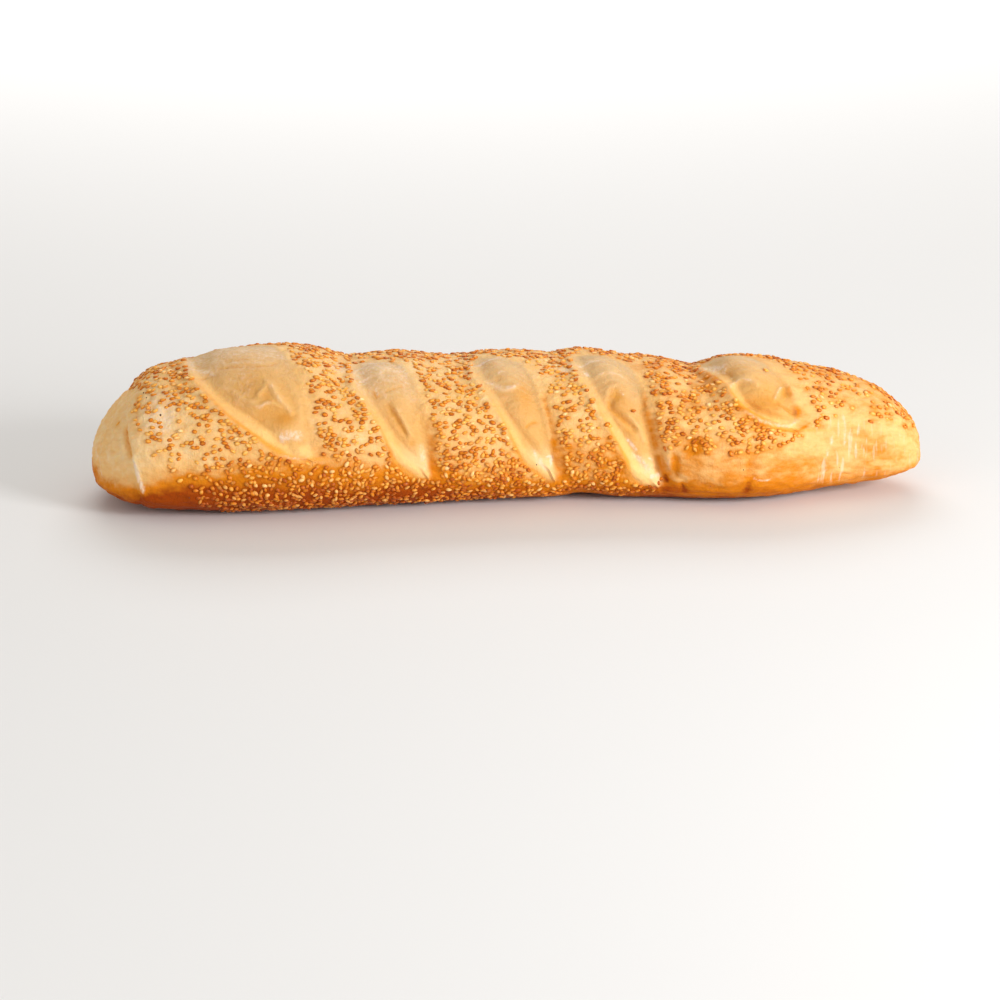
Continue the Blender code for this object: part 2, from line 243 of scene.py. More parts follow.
# Broad hollows and swells inside the slashes and beside them:
# x, angle, rise, reach along the loaf, reach round it.
SWELLS = (
    (-0.1385, 32, -0.0020, 0.0095, 0.0055),
    (-0.1533, 54, -0.0008, 0.0080, 0.0080),
    (-0.1427, 44, -0.0008, 0.0026, 0.0030),
    (-0.1680, 62, 0.0008, 0.0080, 0.0080),
    (-0.1260, 9, 0.0008, 0.0090, 0.0030),
    (-0.0790, 48, -0.0007, 0.0024, 0.0028),
    (-0.0581, 9, -0.0007, 0.0020, 0.0028),
    (-0.0740, 68, 0.0008, 0.0090, 0.0060),
    (-0.0072, 57, -0.0007, 0.0018, 0.0018),
    (0.0040, 30, 0.0008, 0.0060, 0.0110),
    (0.0622, 45, -0.0014, 0.0038, 0.0055),
    (0.0700, 20, -0.0006, 0.0040, 0.0080),
    (0.0600, 66, 0.0006, 0.0090, 0.0060),
    (0.1480, 43, -0.0013, 0.0110, 0.0075),
    (0.1638, 52, -0.0010, 0.0022, 0.0040),
    (0.1685, 34, -0.0008, 0.0020, 0.0024),
    (0.1430, 66, 0.0008, 0.0110, 0.0070),
    (0.1180, -16, 0.0012, 0.0130, 0.0160),
    (-0.0200, -12, 0.0010, 0.0160, 0.0140),
    (-0.0900, -14, 0.0008, 0.0180, 0.0140),
)
# Folds and wrinkles: rise, reach on the left hand and on the right hand of someone walking along the
# path, and the path of (x, angle).
WRINKLES = (
    # First slash, from the left
    (0.0005, 0.0018, 0.0018, ((-0.192, 77), (-0.186, 74), (-0.178, 70), (-0.168, 66))),
    (-0.0006, 0.0010, 0.0010, ((-0.186, 63), (-0.179, 66), (-0.171, 65))),
    (-0.0007, 0.0010, 0.0010, ((-0.176, 70), (-0.166, 69), (-0.151, 67), (-0.1405, 69), (-0.134, 74))),
    (-0.0004, 0.0007, 0.0007, ((-0.169, 73), (-0.160, 74.5), (-0.150, 73))),
    (0.0008, 0.0012, 0.0022, ((-0.179, 60), (-0.170, 55), (-0.163, 51), (-0.158, 45), (-0.151, 42),
     (-0.146, 46))),
    (0.0015, 0.0024, 0.0012, ((-0.1428, 57), (-0.1396, 49), (-0.1365, 43), (-0.1306, 36), (-0.1276, 31))),
    (0.0009, 0.0012, 0.0012, ((-0.1428, 57), (-0.1445, 50), (-0.1500, 44))),
    (0.0010, 0.0012, 0.0009, ((-0.1552, 43), (-0.1475, 38), (-0.1430, 40), (-0.1384, 39), (-0.1290, 33))),
    (0.0009, 0.0030, 0.0026, ((-0.1350, 62), (-0.1273, 50), (-0.1239, 41), (-0.1232, 32), (-0.1240, 24))),
    (0.0006, 0.0020, 0.0022, ((-0.1716, 42), (-0.1630, 36), (-0.1545, 29), (-0.1461, 23.5), (-0.1396, 18))),
    (-0.0005, 0.0010, 0.0012, ((-0.1710, 49), (-0.1606, 40), (-0.1510, 32.5), (-0.1436, 26),
     (-0.1360, 21))),
    (-0.0010, 0.0012, 0.0012, ((-0.1400, 17), (-0.1330, 15), (-0.1260, 14.5), (-0.1190, 15))),
    (0.0008, 0.0010, 0.0010, ((-0.1364, 10.5), (-0.1294, 7), (-0.1222, 5.5), (-0.1162, 6.5))),
    (-0.0004, 0.0030, 0.0030, ((-0.1180, 60), (-0.1178, 36), (-0.1172, 24), (-0.1150, 8))),
    # Second slash
    (-0.0004, 0.0010, 0.0012, ((-0.0917, 67), (-0.0840, 78), (-0.0741, 82), (-0.0662, 73), (-0.0603, 60),
     (-0.0555, 50))),
    (-0.0004, 0.0014, 0.0010, ((-0.0890, 60), (-0.0830, 61), (-0.0760, 63), (-0.0680, 61))),
    (0.0006, 0.0007, 0.0007, ((-0.0800, 53), (-0.0790, 50), (-0.0770, 46))),
    (-0.0005, 0.0014, 0.0008, ((-0.0758, 48), (-0.0689, 51), (-0.0610, 54))),
    (-0.0012, 0.0012, 0.0026, ((-0.0735, 45), (-0.0718, 40), (-0.0678, 31), (-0.0636, 22), (-0.0595, 13))),
    (0.0010, 0.0018, 0.0009, ((-0.0700, 41), (-0.0650, 31), (-0.0612, 21), (-0.0588, 12))),
    (0.0006, 0.0012, 0.0018, ((-0.0534, 39), (-0.0548, 29), (-0.0572, 20), (-0.0592, 13))),
    (0.0005, 0.0012, 0.0014, ((-0.0523, 10), (-0.0516, -3), (-0.0500, -15))),
    # Third slash
    (-0.0004, 0.0012, 0.0012, ((-0.0190, 70), (-0.0120, 78), (0.0000, 75), (0.0085, 64), (0.0150, 48))),
    (0.0008, 0.0022, 0.0010, ((-0.0165, 58), (-0.0117, 53), (-0.0047, 47.5), (0.0018, 48.5), (0.0065, 54))),
    (-0.0008, 0.0008, 0.0010, ((0.0080, 16), (0.0100, 19), (0.0125, 21.5), (0.0170, 23))),
    (0.0006, 0.0026, 0.0014, ((0.0244, -18), (0.0220, -3), (0.0216, 18), (0.0190, 36), (0.0155, 52))),
    # Fourth slash
    (-0.0004, 0.0012, 0.0012, ((0.0415, 68), (0.0463, 74), (0.0580, 77), (0.0680, 67), (0.0745, 54))),
    (0.0008, 0.0020, 0.0012, ((0.0470, 58), (0.0530, 60), (0.0590, 62), (0.0650, 61), (0.0715, 59))),
    (0.0007, 0.0020, 0.0010, ((0.0576, 42), (0.0579, 48), (0.0615, 52), (0.0670, 53))),
    (-0.0019, 0.0026, 0.0014, ((0.0582, 46), (0.0588, 40), (0.0600, 34), (0.0657, 26), (0.0711, 19),
     (0.0740, 13))),
    (0.0012, 0.0012, 0.0024, ((0.0675, 33), (0.0715, 28), (0.0755, 21), (0.0780, 12), (0.0806, 2))),
    (-0.0009, 0.0010, 0.0010, ((0.0719, 33), (0.0712, 37))),
    (-0.0007, 0.0022, 0.0036, ((0.0866, -24), (0.0845, -7), (0.0812, 14), (0.0778, 34), (0.0785, 52))),
    # Fifth slash
    (0.0012, 0.0026, 0.0012, ((0.1291, 49), (0.1318, 57), (0.1359, 60.5), (0.1414, 59), (0.1462, 54.5),
     (0.1500, 50.5))),
    (0.0012, 0.0010, 0.0014, ((0.1562, 43), (0.1595, 52), (0.1627, 58))),
    (0.0010, 0.0010, 0.0026, ((0.1710, 37), (0.1690, 48), (0.1670, 58), (0.1600, 72))),
    (-0.0015, 0.0012, 0.0014, ((0.1560, 43), (0.1590, 40.5), (0.1630, 38), (0.1692, 33))),
    (-0.0012, 0.0014, 0.0022, ((0.1360, 48), (0.1400, 42), (0.1500, 35), (0.1600, 30.5), (0.1680, 30))),
    (0.0010, 0.0014, 0.0012, ((0.1340, 38), (0.1400, 32), (0.1471, 27.5), (0.1542, 25), (0.1617, 23.5),
     (0.1685, 26), (0.1740, 32))),
    (-0.0006, 0.0009, 0.0009, ((0.1470, 25), (0.1567, 21.5), (0.1636, 19.5), (0.1703, 19.5), (0.1760, 23),
     (0.1791, 28))),
    (-0.0005, 0.0010, 0.0010, ((0.1277, 73), (0.1333, 65))),
    (-0.0004, 0.0012, 0.0012, ((0.1290, 75), (0.1359, 71), (0.1457, 69), (0.1580, 71))),
    # Pleats between the last two slashes and beyond
    (-0.0009, 0.0018, 0.0018, ((0.0856, -3), (0.0862, -15), (0.0868, -30))),
    (0.0009, 0.0020, 0.0022, ((0.0918, 6), (0.0924, -8), (0.0932, -21))),
    (-0.0009, 0.0016, 0.0022, ((0.0962, 3), (0.0972, -11), (0.0980, -27))),
    (-0.0007, 0.0011, 0.0011, ((0.0912, -23), (0.0918, -27), (0.0926, -33))),
    (-0.0006, 0.0012, 0.0014, ((0.1005, -27), (0.1020, -33), (0.1040, -42))),
    (-0.0007, 0.0026, 0.0022, ((0.1422, 6), (0.1400, -8), (0.1407, -14), (0.1441, -22), (0.1509, -23))),
    (-0.0009, 0.0022, 0.0030, ((0.1425, -20), (0.1405, -28), (0.1395, -42))),
    (-0.0005, 0.0014, 0.0010, ((0.1900, -30), (0.1960, -27), (0.2050, -29))),
    # The crease of the pinched cap
    (-0.0014, 0.0010, 0.0014, ((-0.2262, 48), (-0.2256, 33), (-0.2222, 14))),
    (0.0010, 0.0010, 0.0014, ((-0.2218, 22), (-0.2186, 6), (-0.2152, -24))),
)
# Tints without relief: tone, from browned and shaded below 0 to dusty above it, half width and path of
# (x, angle). Along creases and the feet of the slashes the dark strokes are painted shade.
STROKES = (
    (-1.1, 0.0012, ((-0.2262, 46), (-0.2256, 33), (-0.2222, 14))),
    (1.4, 0.0012, ((-0.2216, 20), (-0.2186, 6), (-0.2165, -6), (-0.2150, -22))),
    (-0.9, 0.0010, ((-0.2194, 68), (-0.2189, 53), (-0.2186, 38))),
    (0.5, 0.0006, ((-0.2468, 49), (-0.2440, 20), (-0.2400, -10))),
    (0.4, 0.0005, ((-0.2349, 30), (-0.2352, -8))),
    (0.8, 0.0030, ((-0.1935, 79), (-0.1859, 75), (-0.1786, 70), (-0.1690, 64))),
    (-0.35, 0.0010, ((-0.1870, 62), (-0.1790, 66), (-0.1712, 64))),
    (0.5, 0.0028, ((-0.1740, 72.5), (-0.1607, 72.5), (-0.1503, 71), (-0.1420, 69.5))),
    (-0.5, 0.0009, ((-0.1765, 69.5), (-0.1662, 69), (-0.1514, 66.5), (-0.1405, 68.7), (-0.1340, 74))),
    (-0.5, 0.0006, ((-0.1690, 73), (-0.1603, 74.5), (-0.1495, 73))),
    (0.35, 0.0024, ((-0.1789, 60), (-0.1697, 55), (-0.1628, 51), (-0.1577, 45), (-0.1509, 42),
     (-0.1460, 46))),
    (0.35, 0.0020, ((-0.1428, 57), (-0.1396, 49), (-0.1365, 43), (-0.1306, 36), (-0.1270, 30))),
    (0.5, 0.0014, ((-0.1500, 40), (-0.1475, 38), (-0.1430, 40), (-0.1384, 39))),
    (1.0, 0.0034, ((-0.1370, 19), (-0.1330, 18.8), (-0.1277, 20), (-0.1195, 18.5))),
    (0.6, 0.0012, ((-0.1380, 9.5), (-0.1294, 6.2), (-0.1222, 4.8), (-0.1160, 6))),
    (1.0, 0.0018, ((-0.0925, 70), (-0.0845, 77), (-0.0765, 81))),
    (-0.35, 0.0010, ((-0.0905, 64), (-0.0840, 73), (-0.0741, 77), (-0.0662, 69))),
    (1.3, 0.0012, ((-0.0905, 60), (-0.0870, 61), (-0.0835, 61))),
    (-0.9, 0.0013, ((-0.0804, 52), (-0.0790, 49), (-0.0772, 46))),
    (1.1, 0.0006, ((-0.0798, 53), (-0.0785, 50), (-0.0768, 47))),
    (-0.5, 0.0009, ((-0.0758, 49), (-0.0689, 51), (-0.0610, 54))),
    (-0.65, 0.0015, ((-0.0725, 42), (-0.0678, 32), (-0.0636, 23), (-0.0595, 13))),
    (-0.35, 0.0011, ((-0.0534, 39), (-0.0548, 29), (-0.0572, 20), (-0.0592, 12))),
    (0.6, 0.0020, ((-0.0526, 12), (-0.0516, -3), (-0.0500, -16))),
    # Painted shade along the foot of the slash.
    (-0.3, 0.0030, ((-0.0508, 50), (-0.0495, 35), (-0.0478, 16), (-0.0450, -10))),
    (1.1, 0.0014, ((-0.0210, 73), (-0.0160, 76), (-0.0086, 81), (-0.0030, 86))),
    (0.7, 0.0020, ((-0.0175, 60), (-0.0117, 55), (-0.0047, 49), (0.0018, 49.5), (0.0070, 55))),
    (-0.35, 0.0010, ((-0.0115, 49), (-0.0047, 44.5), (0.0025, 45.5))),
    (0.9, 0.0008, ((-0.0076, 62), (-0.0044, 62.5), (-0.0012, 62.5))),
    (-0.9, 0.0009, ((0.0080, 16.5), (0.0100, 19.5), (0.0125, 21.5), (0.0168, 23))),
    (1.2, 0.0011, ((0.0195, -9), (0.0235, -8), (0.0238, -18))),
    (0.6, 0.0022, ((0.0110, 2), (0.0173, -11), (0.0228, -22))),
    # Painted shade along the foot of the slash.
    (-0.6, 0.0025, ((0.0188, 50), (0.0216, 36), (0.0244, 17), (0.0256, -8))),
    (0.9, 0.0015, ((0.0415, 70), (0.0440, 73), (0.0507, 76), (0.0595, 77.5))),
    (1.2, 0.0014, ((0.0425, 66), (0.0455, 64), (0.0480, 60))),
    (0.55, 0.0008, ((0.0500, 58), (0.0578, 62), (0.0643, 61.5), (0.0711, 59.5))),
    (1.3, 0.0006, ((0.0655, 50), (0.0664, 47), (0.0672, 45))),
    (-1.0, 0.0016, ((0.0582, 44), (0.0588, 38), (0.0600, 33), (0.0657, 26), (0.0711, 19))),
    (-0.4, 0.0020, ((0.0657, 20), (0.0709, 14), (0.0752, 7))),
    (1.1, 0.0012, ((0.0670, 12), (0.0715, 4), (0.0752, -2))),
    (0.7, 0.0026, ((0.0700, 0), (0.0770, -10), (0.0830, -24))),
    # Painted shade along the foot of the slash.
    (-0.5, 0.0025, ((0.0797, 54), (0.0800, 38), (0.0834, 15), (0.0862, -6))),
    (1.2, 0.0008, ((0.0805, -7), (0.0842, -12))),
    (1.3, 0.0012, ((0.0815, -25), (0.0848, -25), (0.0885, -28))),
    (0.35, 0.0018, ((0.0918, 8), (0.0924, -8), (0.0933, -20))),
    (-0.4, 0.0016, ((0.0858, -5), (0.0863, -15), (0.0868, -27))),
    (-0.25, 0.0016, ((0.0962, 3), (0.0972, -11), (0.0980, -27))),
    (-0.7, 0.0010, ((0.0912, -23), (0.0918, -27), (0.0926, -33))),
    (-0.4, 0.0014, ((0.1010, -27), (0.1030, -34), (0.1042, -42))),
    (0.75, 0.0050, ((0.1150, 90), (0.1190, 86), (0.1252, 79), (0.1335, 71))),
    (-0.6, 0.0009, ((0.1277, 74), (0.1300, 69), (0.1336, 64))),
    (0.7, 0.0008, ((0.1291, 49), (0.1318, 57), (0.1359, 60.5), (0.1414, 59), (0.1470, 54))),
    (0.7, 0.0008, ((0.1562, 43), (0.1595, 52), (0.1627, 58))),
    (-0.7, 0.0006, ((0.1490, 52), (0.1525, 50.5), (0.1560, 50))),
    (-0.7, 0.0018, ((0.1560, 43), (0.1590, 40.5), (0.1630, 38), (0.1692, 33))),
    (-0.7, 0.0026, ((0.1628, 58), (0.1640, 52), (0.1652, 46))),
    (0.6, 0.0018, ((0.1345, 37), (0.1419, 30.5), (0.1471, 27.5), (0.1617, 23.5), (0.1685, 26),
     (0.1756, 34))),
    (-0.7, 0.0008, ((0.1440, 26.5), (0.1567, 22), (0.1636, 20), (0.1703, 20), (0.1760, 24), (0.1795, 29))),
    (0.9, 0.0009, ((0.1420, -19), (0.1455, -23), (0.1500, -24), (0.1560, -22))),
    (-0.3, 0.0018, ((0.1417, -23), (0.1405, -30), (0.1395, -42))),
    (0.7, 0.0009, ((0.1820, -34), (0.1860, -26), (0.1880, -16))),
    (0.8, 0.0009, ((0.1978, 38), (0.1985, 20), (0.1993, 4))),
    (0.8, 0.0008, ((0.1930, 22), (0.1898, 6), (0.1870, -8))),
    (0.7, 0.0008, ((0.1835, 11), (0.1824, -6))),
)
# Broad patches that are baked more, or less where the tone is negative:
# x, angle, tone, reach along the loaf, reach round it.
PATCHES = (
    (-0.1325, 30, 0.85, 0.0060, 0.0042),
    (-0.1420, 35, 0.15, 0.0080, 0.0050),
    (-0.1540, 54, 0.16, 0.0075, 0.0060),
    (-0.1427, 44, 0.30, 0.0024, 0.0028),
    (-0.1285, 10, 0.16, 0.0090, 0.0028),
    (-0.0690, 34, 0.12, 0.0040, 0.0100),
    (-0.0581, 9, 0.40, 0.0018, 0.0024),
    (-0.0580, -14, -0.35, 0.0070, 0.0060),
    (-0.0405, -6, -0.30, 0.0045, 0.0100),
    (0.0140, -20, -0.35, 0.0080, 0.0060),
    (0.0780, -27, -0.30, 0.0070, 0.0050),
    (0.1000, -24, -0.40, 0.0065, 0.0060),
    (0.1080, 8, 0.25, 0.0060, 0.0100),
    (0.0075, 40, 0.75, 0.0070, 0.0150),
    (0.0622, 45, 0.50, 0.0036, 0.0052),
    (0.0665, 38, 0.50, 0.0065, 0.0110),
    (0.0719, 35, 0.60, 0.0010, 0.0014),
    (0.0560, 72, 0.10, 0.0100, 0.0080),
    (0.1510, 38, 0.85, 0.0120, 0.0090),
    (0.1680, 35, 0.70, 0.0034, 0.0045),
    (0.1640, 52, 0.55, 0.0030, 0.0050),
    (0.1300, 72, 0.45, 0.0110, 0.0080),
    (0.1590, 41, 0.35, 0.0018, 0.0020),
    (0.1150, 62, 0.15, 0.0060, 0.0100),
    (0.1000, -36, 0.12, 0.0100, 0.0050),
    (0.1420, -30, 0.10, 0.0060, 0.0080),
    (0.2200, 6, 0.12, 0.0160, 0.0120),
    (-0.2480, 0, 0.25, 0.0050, 0.0300),
)
# Dusty spots on the crust: x, angle, tone, reach along the loaf, reach round it.
DUST_SPOTS = (
    (-0.205, 42, 0.7, 0.012, 0.020),
    (-0.157, 57, 0.4, 0.012, 0.022),
    (-0.098, 76, 0.7, 0.010, 0.007),
    (-0.026, 74, 0.7, 0.007, 0.005),
    (0.034, 70, 0.7, 0.007, 0.005),
)
# Spots where a seed lies alone, away from the others: x, angle.
STRAY_SEEDS = (
    (-0.2324, 52),
    (-0.2200, 52),
    (-0.2196, 46),
    (-0.2192, 40),
    (-0.2165, 35.5),
    (-0.1960, 74),
    (-0.0860, 76),
    (0.0723, 35),
    (0.0739, 19),
    (0.0573, 20),
    (0.0816, -34),
    (0.0845, -32),
    (0.0878, -31),
    (0.1540, 73),
    (0.1720, 17.8),
    (0.1477, 22.3),
    (0.1441, 20.8),
    (0.1388, 20.8),
    (0.1856, 33.7),
    (0.1885, 39.6),
    (0.2240, 22),
)
# Burnt flecks: x, angle, length.
FLECKS = (
    (-0.2154, 63.4, 0.0013),
    (-0.2133, 57.0, 0.0010),
    (-0.2133, 50.9, 0.0013),
    (-0.2050, 41.4, 0.0017),
    (-0.1657, 17.3, 0.0010),
    (-0.1620, 18.5, 0.0008),
    (-0.1890, -22.0, 0.0011),
    (0.0150, -13.0, 0.0011),
    (0.0270, 34.0, 0.0009),
    (0.1370, -12.3, 0.0010),
    (0.1180, -30.0, 0.0007),
    (0.1960, -18.0, 0.0007),
)

# The opened crust of a slash begins over these distances from its tip, top, lip and foot, and its
# middle reaches further up than its sides. Where it spreads at the tip, it does so from a distance on.
OPEN_AT_TIP = (-0.002, 0.003)
OPEN_AT_TOP = (-0.003, 0.006)
OPEN_AT_LIP = (-0.0004, 0.0010)
OPEN_AT_FOOT = (-0.0025, 0.0015)
LEAST_OPENED = 0.01
TOP_ARCH = 0.006
SPREAD_START = 0.004
# The shares of its length over which the upper part of a slash begins and the lower part ends.
UPPER_SHARES = (0.35, 0.95)
LOWER_SHARES = (0.15, 0.70)
# Distances from the tip: where the palest part ends and how far the lip line and strip are wider.
PALE_TIP = (0.012, 0.034)
TIP_REACH = 0.022
# The strip under the lip: the shares of its width over which it ends, its tone, and what is added to
# that low in the slash.
STRIP_SHARES = (0.6, 1.2)
STRIP_TONES = (0.35, 0.65)
# The line along the lip, browned and, low in the slash, also painted shadow under the raised lip: its
# distance from it and its half width, each with what the tip adds, its tone, and what is added to that
# low in the slash.
LIP_LINE_PLACES = (0.0003, 0.0012)
LIP_LINE_WIDTHS = (0.0011, 0.0016)
LIP_LINE_TONES = (0.10, 0.90)
# The band at the foot, painted shade with some browning on the slope that faces away from the light:
# its place, and how far it reaches to the right and to the left.
FOOT_BAND_PLACE = 0.001
FOOT_BAND_REACH = (0.0090, 0.0050)
# How far the faint arcs across a slash bend down in its middle, for each metre of its width.
ARC_BEND = 1.2
# The bare crust beyond the lip and beyond both ends of a slash, and how soon the seeds begin there.
BARE_LIP = 0.0006
BARE_ENDS = 0.0022
BARE_EDGE = 0.0006
# The dust thins out behind the crest.
DUST_LOSS = 0.7
# A path: the steps between two of its points, the share of it over which it fades in and out, and how
# many times its reach away it is still felt.
PATH_STEPS = 6
WRINKLE_ENDS = 0.22
FELT_REACHES = 3

# Zones of the crust: what each goes by, where it starts and where it is full. A minus sign stands for
# the other way.
ZONES = {
    # Along the loaf
    "left": ("-x", -0.02, 0.10),
    "far_left": ("-x", 0.150, 0.185),
    "left_end": ("-x", 0.165, 0.200),
    "cap": ("-x", 0.208, 0.226),
    "past_cap": ("x", -0.200, -0.165),
    "past_left_end": ("x", -0.20, -0.17),
    "left_of_middle": ("-x", -0.02, 0.03),
    "left_of_second": ("-x", -0.085, -0.060),
    "third_on": ("x", 0.02, 0.10),
    "right": ("x", 0.06, 0.16),
    "fifth_on": ("x", 0.160, 0.19),
    "right_end": ("x", 0.165, 0.205),
    "far_right": ("x", 0.180, 0.205),
    "right_tip": ("x", 0.195, 0.225),
    # Round the loaf
    "low_front": ("-angle", -22, 12),
    "seedy_front": ("-angle", -8, 12),
    "mixed_front": ("-angle", -5, 15),
    "disordered": ("-angle", -24, 4),
    "before_crest": ("-angle", -70, -45),
    "before_gap": ("-angle", -75, -50),
    "upper": ("angle", 55, 85),
    "seedy_crest": ("angle", 62, 85),
    "tan_crest": ("angle", 60, 85),
    "high_shoulder": ("angle", 60, 90),
    "crest": ("angle", 70, 90),
    "dust_loss": ("angle", 86, 104),
    "past_crest": ("angle", 90, 115),
    "thinning_back": ("angle", 95, 130),
    "pale_back": ("angle", 100, 135),
    "back": ("angle", 105, 135),
    "above_underside": ("-angle", -196, -150),
    # Above the floor
    "under": ("-z", -0.006, -0.0005),
    "seeds_off_floor": ("z", 0.002, 0.004),
    "off_floor": ("z", 0.0008, 0.006),
    # Where the skin was stretched near both ends
    "stretch_on": ("x", 0.176, 0.186),
    "stretch_off": ("x", 0.208, 0.225),
    "stretch_top": ("-angle", -38, -22),
    "stretch_foot": ("angle", -44, -32),
    "cap_stretch_on": ("-x", 0.222, 0.232),
    "cap_stretch_foot": ("angle", -25, 0),
    "cap_stretch_top": ("-angle", -60, -30),
}
# What is added to each tone of the crust: an amount, and the zones that it is kept to together. The
# prefix no_ stands for everything outside a zone.
BAKE_TERMS = (
    (0.31, ""),
    # The hem, the low edge and the underside are darker: browning, and in part painted shade.
    (0.41, "hem"),
    (0.29, "hem left"),
    (0.20, "hem far_left"),
    (-0.16, "hem cap"),
    (-0.10, "hem right"),
    (-0.14, "hem right_end"),
    (0.16, "low"),
    (0.40, "low left"),
    (-0.38, "low cap"),
    (0.25, "under"),
    (-0.20, "under far_left"),
    (0.18, "low_front no_hem no_far_left no_right_end"),
    (0.16, "low_front left no_hem no_far_left no_right_end"),
    (0.13, "third_on"),
    (0.01, "far_right"),
    (-0.06, "left_end no_hem"),
    (0.036, "left_end no_hem high_shoulder"),
    (0.12, "back"),
    # The crest is darker in part as painted shade, where the light falls off over the top.
    (0.05, "crest"),
    (0.05, "right_tip"),
    (0.03, "right tan_crest"),
    (-0.16, "right pale_back"),
)
# Low on the front the pale seeds stand in partly for glints of light on the seeds, a painted highlight.
PALE_SEED_TERMS = ((0.10, ""), (0.06, "mixed_front"), (0.16, "mixed_front left"), (0.10, "upper"))
STRETCH_TERMS = (
    (1.0, "stretch_on stretch_top stretch_foot"),
    (-0.6, "stretch_on stretch_off stretch_top stretch_foot"),
)
CAP_STRETCH_TERMS = ((0.30, "cap_stretch_on cap_stretch_foot cap_stretch_top"),)
# The brown hem and the darker edge below it, partly browning and partly painted shade where the loaf
# faces down to the floor, over heights above the floor that waver and that lie higher on the left and
# lower at the cap.
UNEVEN_SIZE = 0.045
UNEVEN_BAKE = 0.05
HEM_HEIGHTS = (0.006, 0.036)
HEM_WAVER = 0.0025
HEM_LIFT_LEFT = 0.005
HEM_DROP_CAP = 0.007
LOW_HEIGHTS = (0.002, 0.022)
LOW_WAVER = 0.0015
# How strongly the patches bake the crust, the depth at which folds are fully darkened as painted shade
# and how far that goes, and the height at which they are fully lightened as a painted highlight.
PATCH_BAKE = 0.6
HOLLOW_SHADE_DEPTH = 0.0030
MOST_HOLLOW_SHADE = 0.30
RIDGE_HIGHLIGHT_HEIGHT = 0.0016
LUMPS_LOST_OPENED = 0.5

# How thickly the seeds lie, as shares of the thickest: on the front, low down on it and on the crest.
# Then how much they thin out on the left, on the right and in a gap near the right end.
FRONT_SEEDS = 0.70
LOW_SEEDS = 1.0
CREST_SEEDS = 0.66
LEFT_THINNING = 0.45
RIGHT_THINNING = 0.38
SEED_GAP = {"x": 0.207, "long": 0.006, "thinning": 0.8}
# Where the seeds begin on the left, as (angle, x), and how unevenly and softly they do.
LEFT_LIMIT = ((-40, -0.172), (-25, -0.190), (2, -0.197), (14, -0.211), (24, -0.214), (36, -0.219),
              (61, -0.220), (97, -0.226), (160, -0.222), (215, -0.215))
LEFT_WAVER = 0.003
LEFT_WAVER_SIZE = 0.016
LEFT_EDGE = (-0.002, 0.004)
LEFT_EDGE_BEHIND = 0.012
# The angle above which they lie on the right, as (x, angle), the x from which it holds and its edge.
RIGHT_LIMIT = ((0.0860, -41), (0.0885, 2), (0.1116, 2), (0.146, 2), (0.1711, 11), (0.1901, 24),
               (0.2097, 33), (0.2339, 36), (0.245, 43))
RIGHT_LIMIT_START = 0.08
RIGHT_EDGE = (-2, 5)
# The lowest angle of the seeds, how much lower it is left of the middle, and its edge.
LOWEST_SEEDS = -48
LOWER_ON_LEFT = 14
LOWEST_EDGE = (0, 8)
SEEDLESS_END = (0.003, 0.010)
# Thicker and thinner patches of seeds: how strong and how large, the small ones drawn out along X.
SEED_PATCHES = (0.14, 0.020)
SMALL_SEED_PATCHES = (0.16, 0.0085)
PATCH_STRETCH = 0.45
STRAY_STRENGTH = 1.4
STRAY_REACH = 0.0012

# Waves that make up an uneven value: how steeply each runs along and round the loaf, and its start.
WAVES = ((0.83, 0.41, 1.3), (-0.52, 0.97, 4.1), (1.31, -0.23, 2.2), (0.37, 1.43, 0.4))
WAVES_SPAN = 2.6

# Mottling of each finish: the size of its patches and how strongly they swing.
MOTTLES = {
    "crust": (0.016, 0.20),
    "lengthways": (0.0034, 0.20),
    "stripes": (0.0028, 0.9),
    "clouds": (0.006, 0.35),
    "fine dust": (0.0022, 1.4),
    "drifted dust": (0.006, 0.5),
    "crust roughness": (0.005, 0.10),
    "skin": (0.0022, 0.5),
    "fine skin": (0.0009, 0.2),
    "seed": (0.0012, 0.10),
    "seed roughness": (0.001, 0.08),
    "seed skin": (0.0005, 0.5),
    "fleck": (0.0006, 0.4),
    "fleck roughness": (0.0005, 0.15),
    "floor": (0.5, 0.2),
}
# How strongly each mask darkens the crust and a seed, and what is added everywhere. The contact shade
# round seeds, the foot shade and the shade in hollows are painted shade with some browning, and the
# raised folds are lightened as a painted highlight.
CRUST_DARKENERS = {"near_seed": 0.16, "foot_shade": 0.20, "scorch": 0.36, "raised": -0.20}
CRUST_BAKE_SHIFT = -0.04
# A seed is browner towards its rim, partly toasting and partly painted shade, so its crown is lighter as a
# painted highlight, and it darkens with the crust's bake, painted shade low down included.
SEED_DARKENERS = {"tone": 0.62, "rim": 0.44, "bake": 0.36}
SEED_BAKE_SHIFT = -0.04
# The tones of baked dough blend over these stretches: to gold, to brown and to dark.
TO_GOLD = (0.0, 0.40)
TO_BROWN = (0.35, 0.75)
TO_DARK = (0.70, 1.10)
# How strongly each tint covers the crust: the tint of hollows and feet is partly painted shade, the
# raised folds take a painted highlight, and the lip line is partly painted shadow.
BEVEL_COVER = 0.80
SCORCH_AND_SHADE_COVER = 0.85
RIDGE_HIGHLIGHT_COVER = 0.32
LIP_COVER = 0.95
DUST_COVER = 0.85
LINES_COVER = 0.45
FOOT_SHADE_IN_SLASH = 0.35
DUST_RANGE = (0.10, 1.30)
DUST_ROUGHNESS = 0.15
# The faint arcs across a slash: how far they are drawn out, what is added to their strength near the
# crest, and their strength itself.
ARC_STRETCH = 0.10
ARC_STRENGTHS = (0.7, 0.3)
LENGTHWAYS_SCALE = (0.38, 1.0, 1.0)
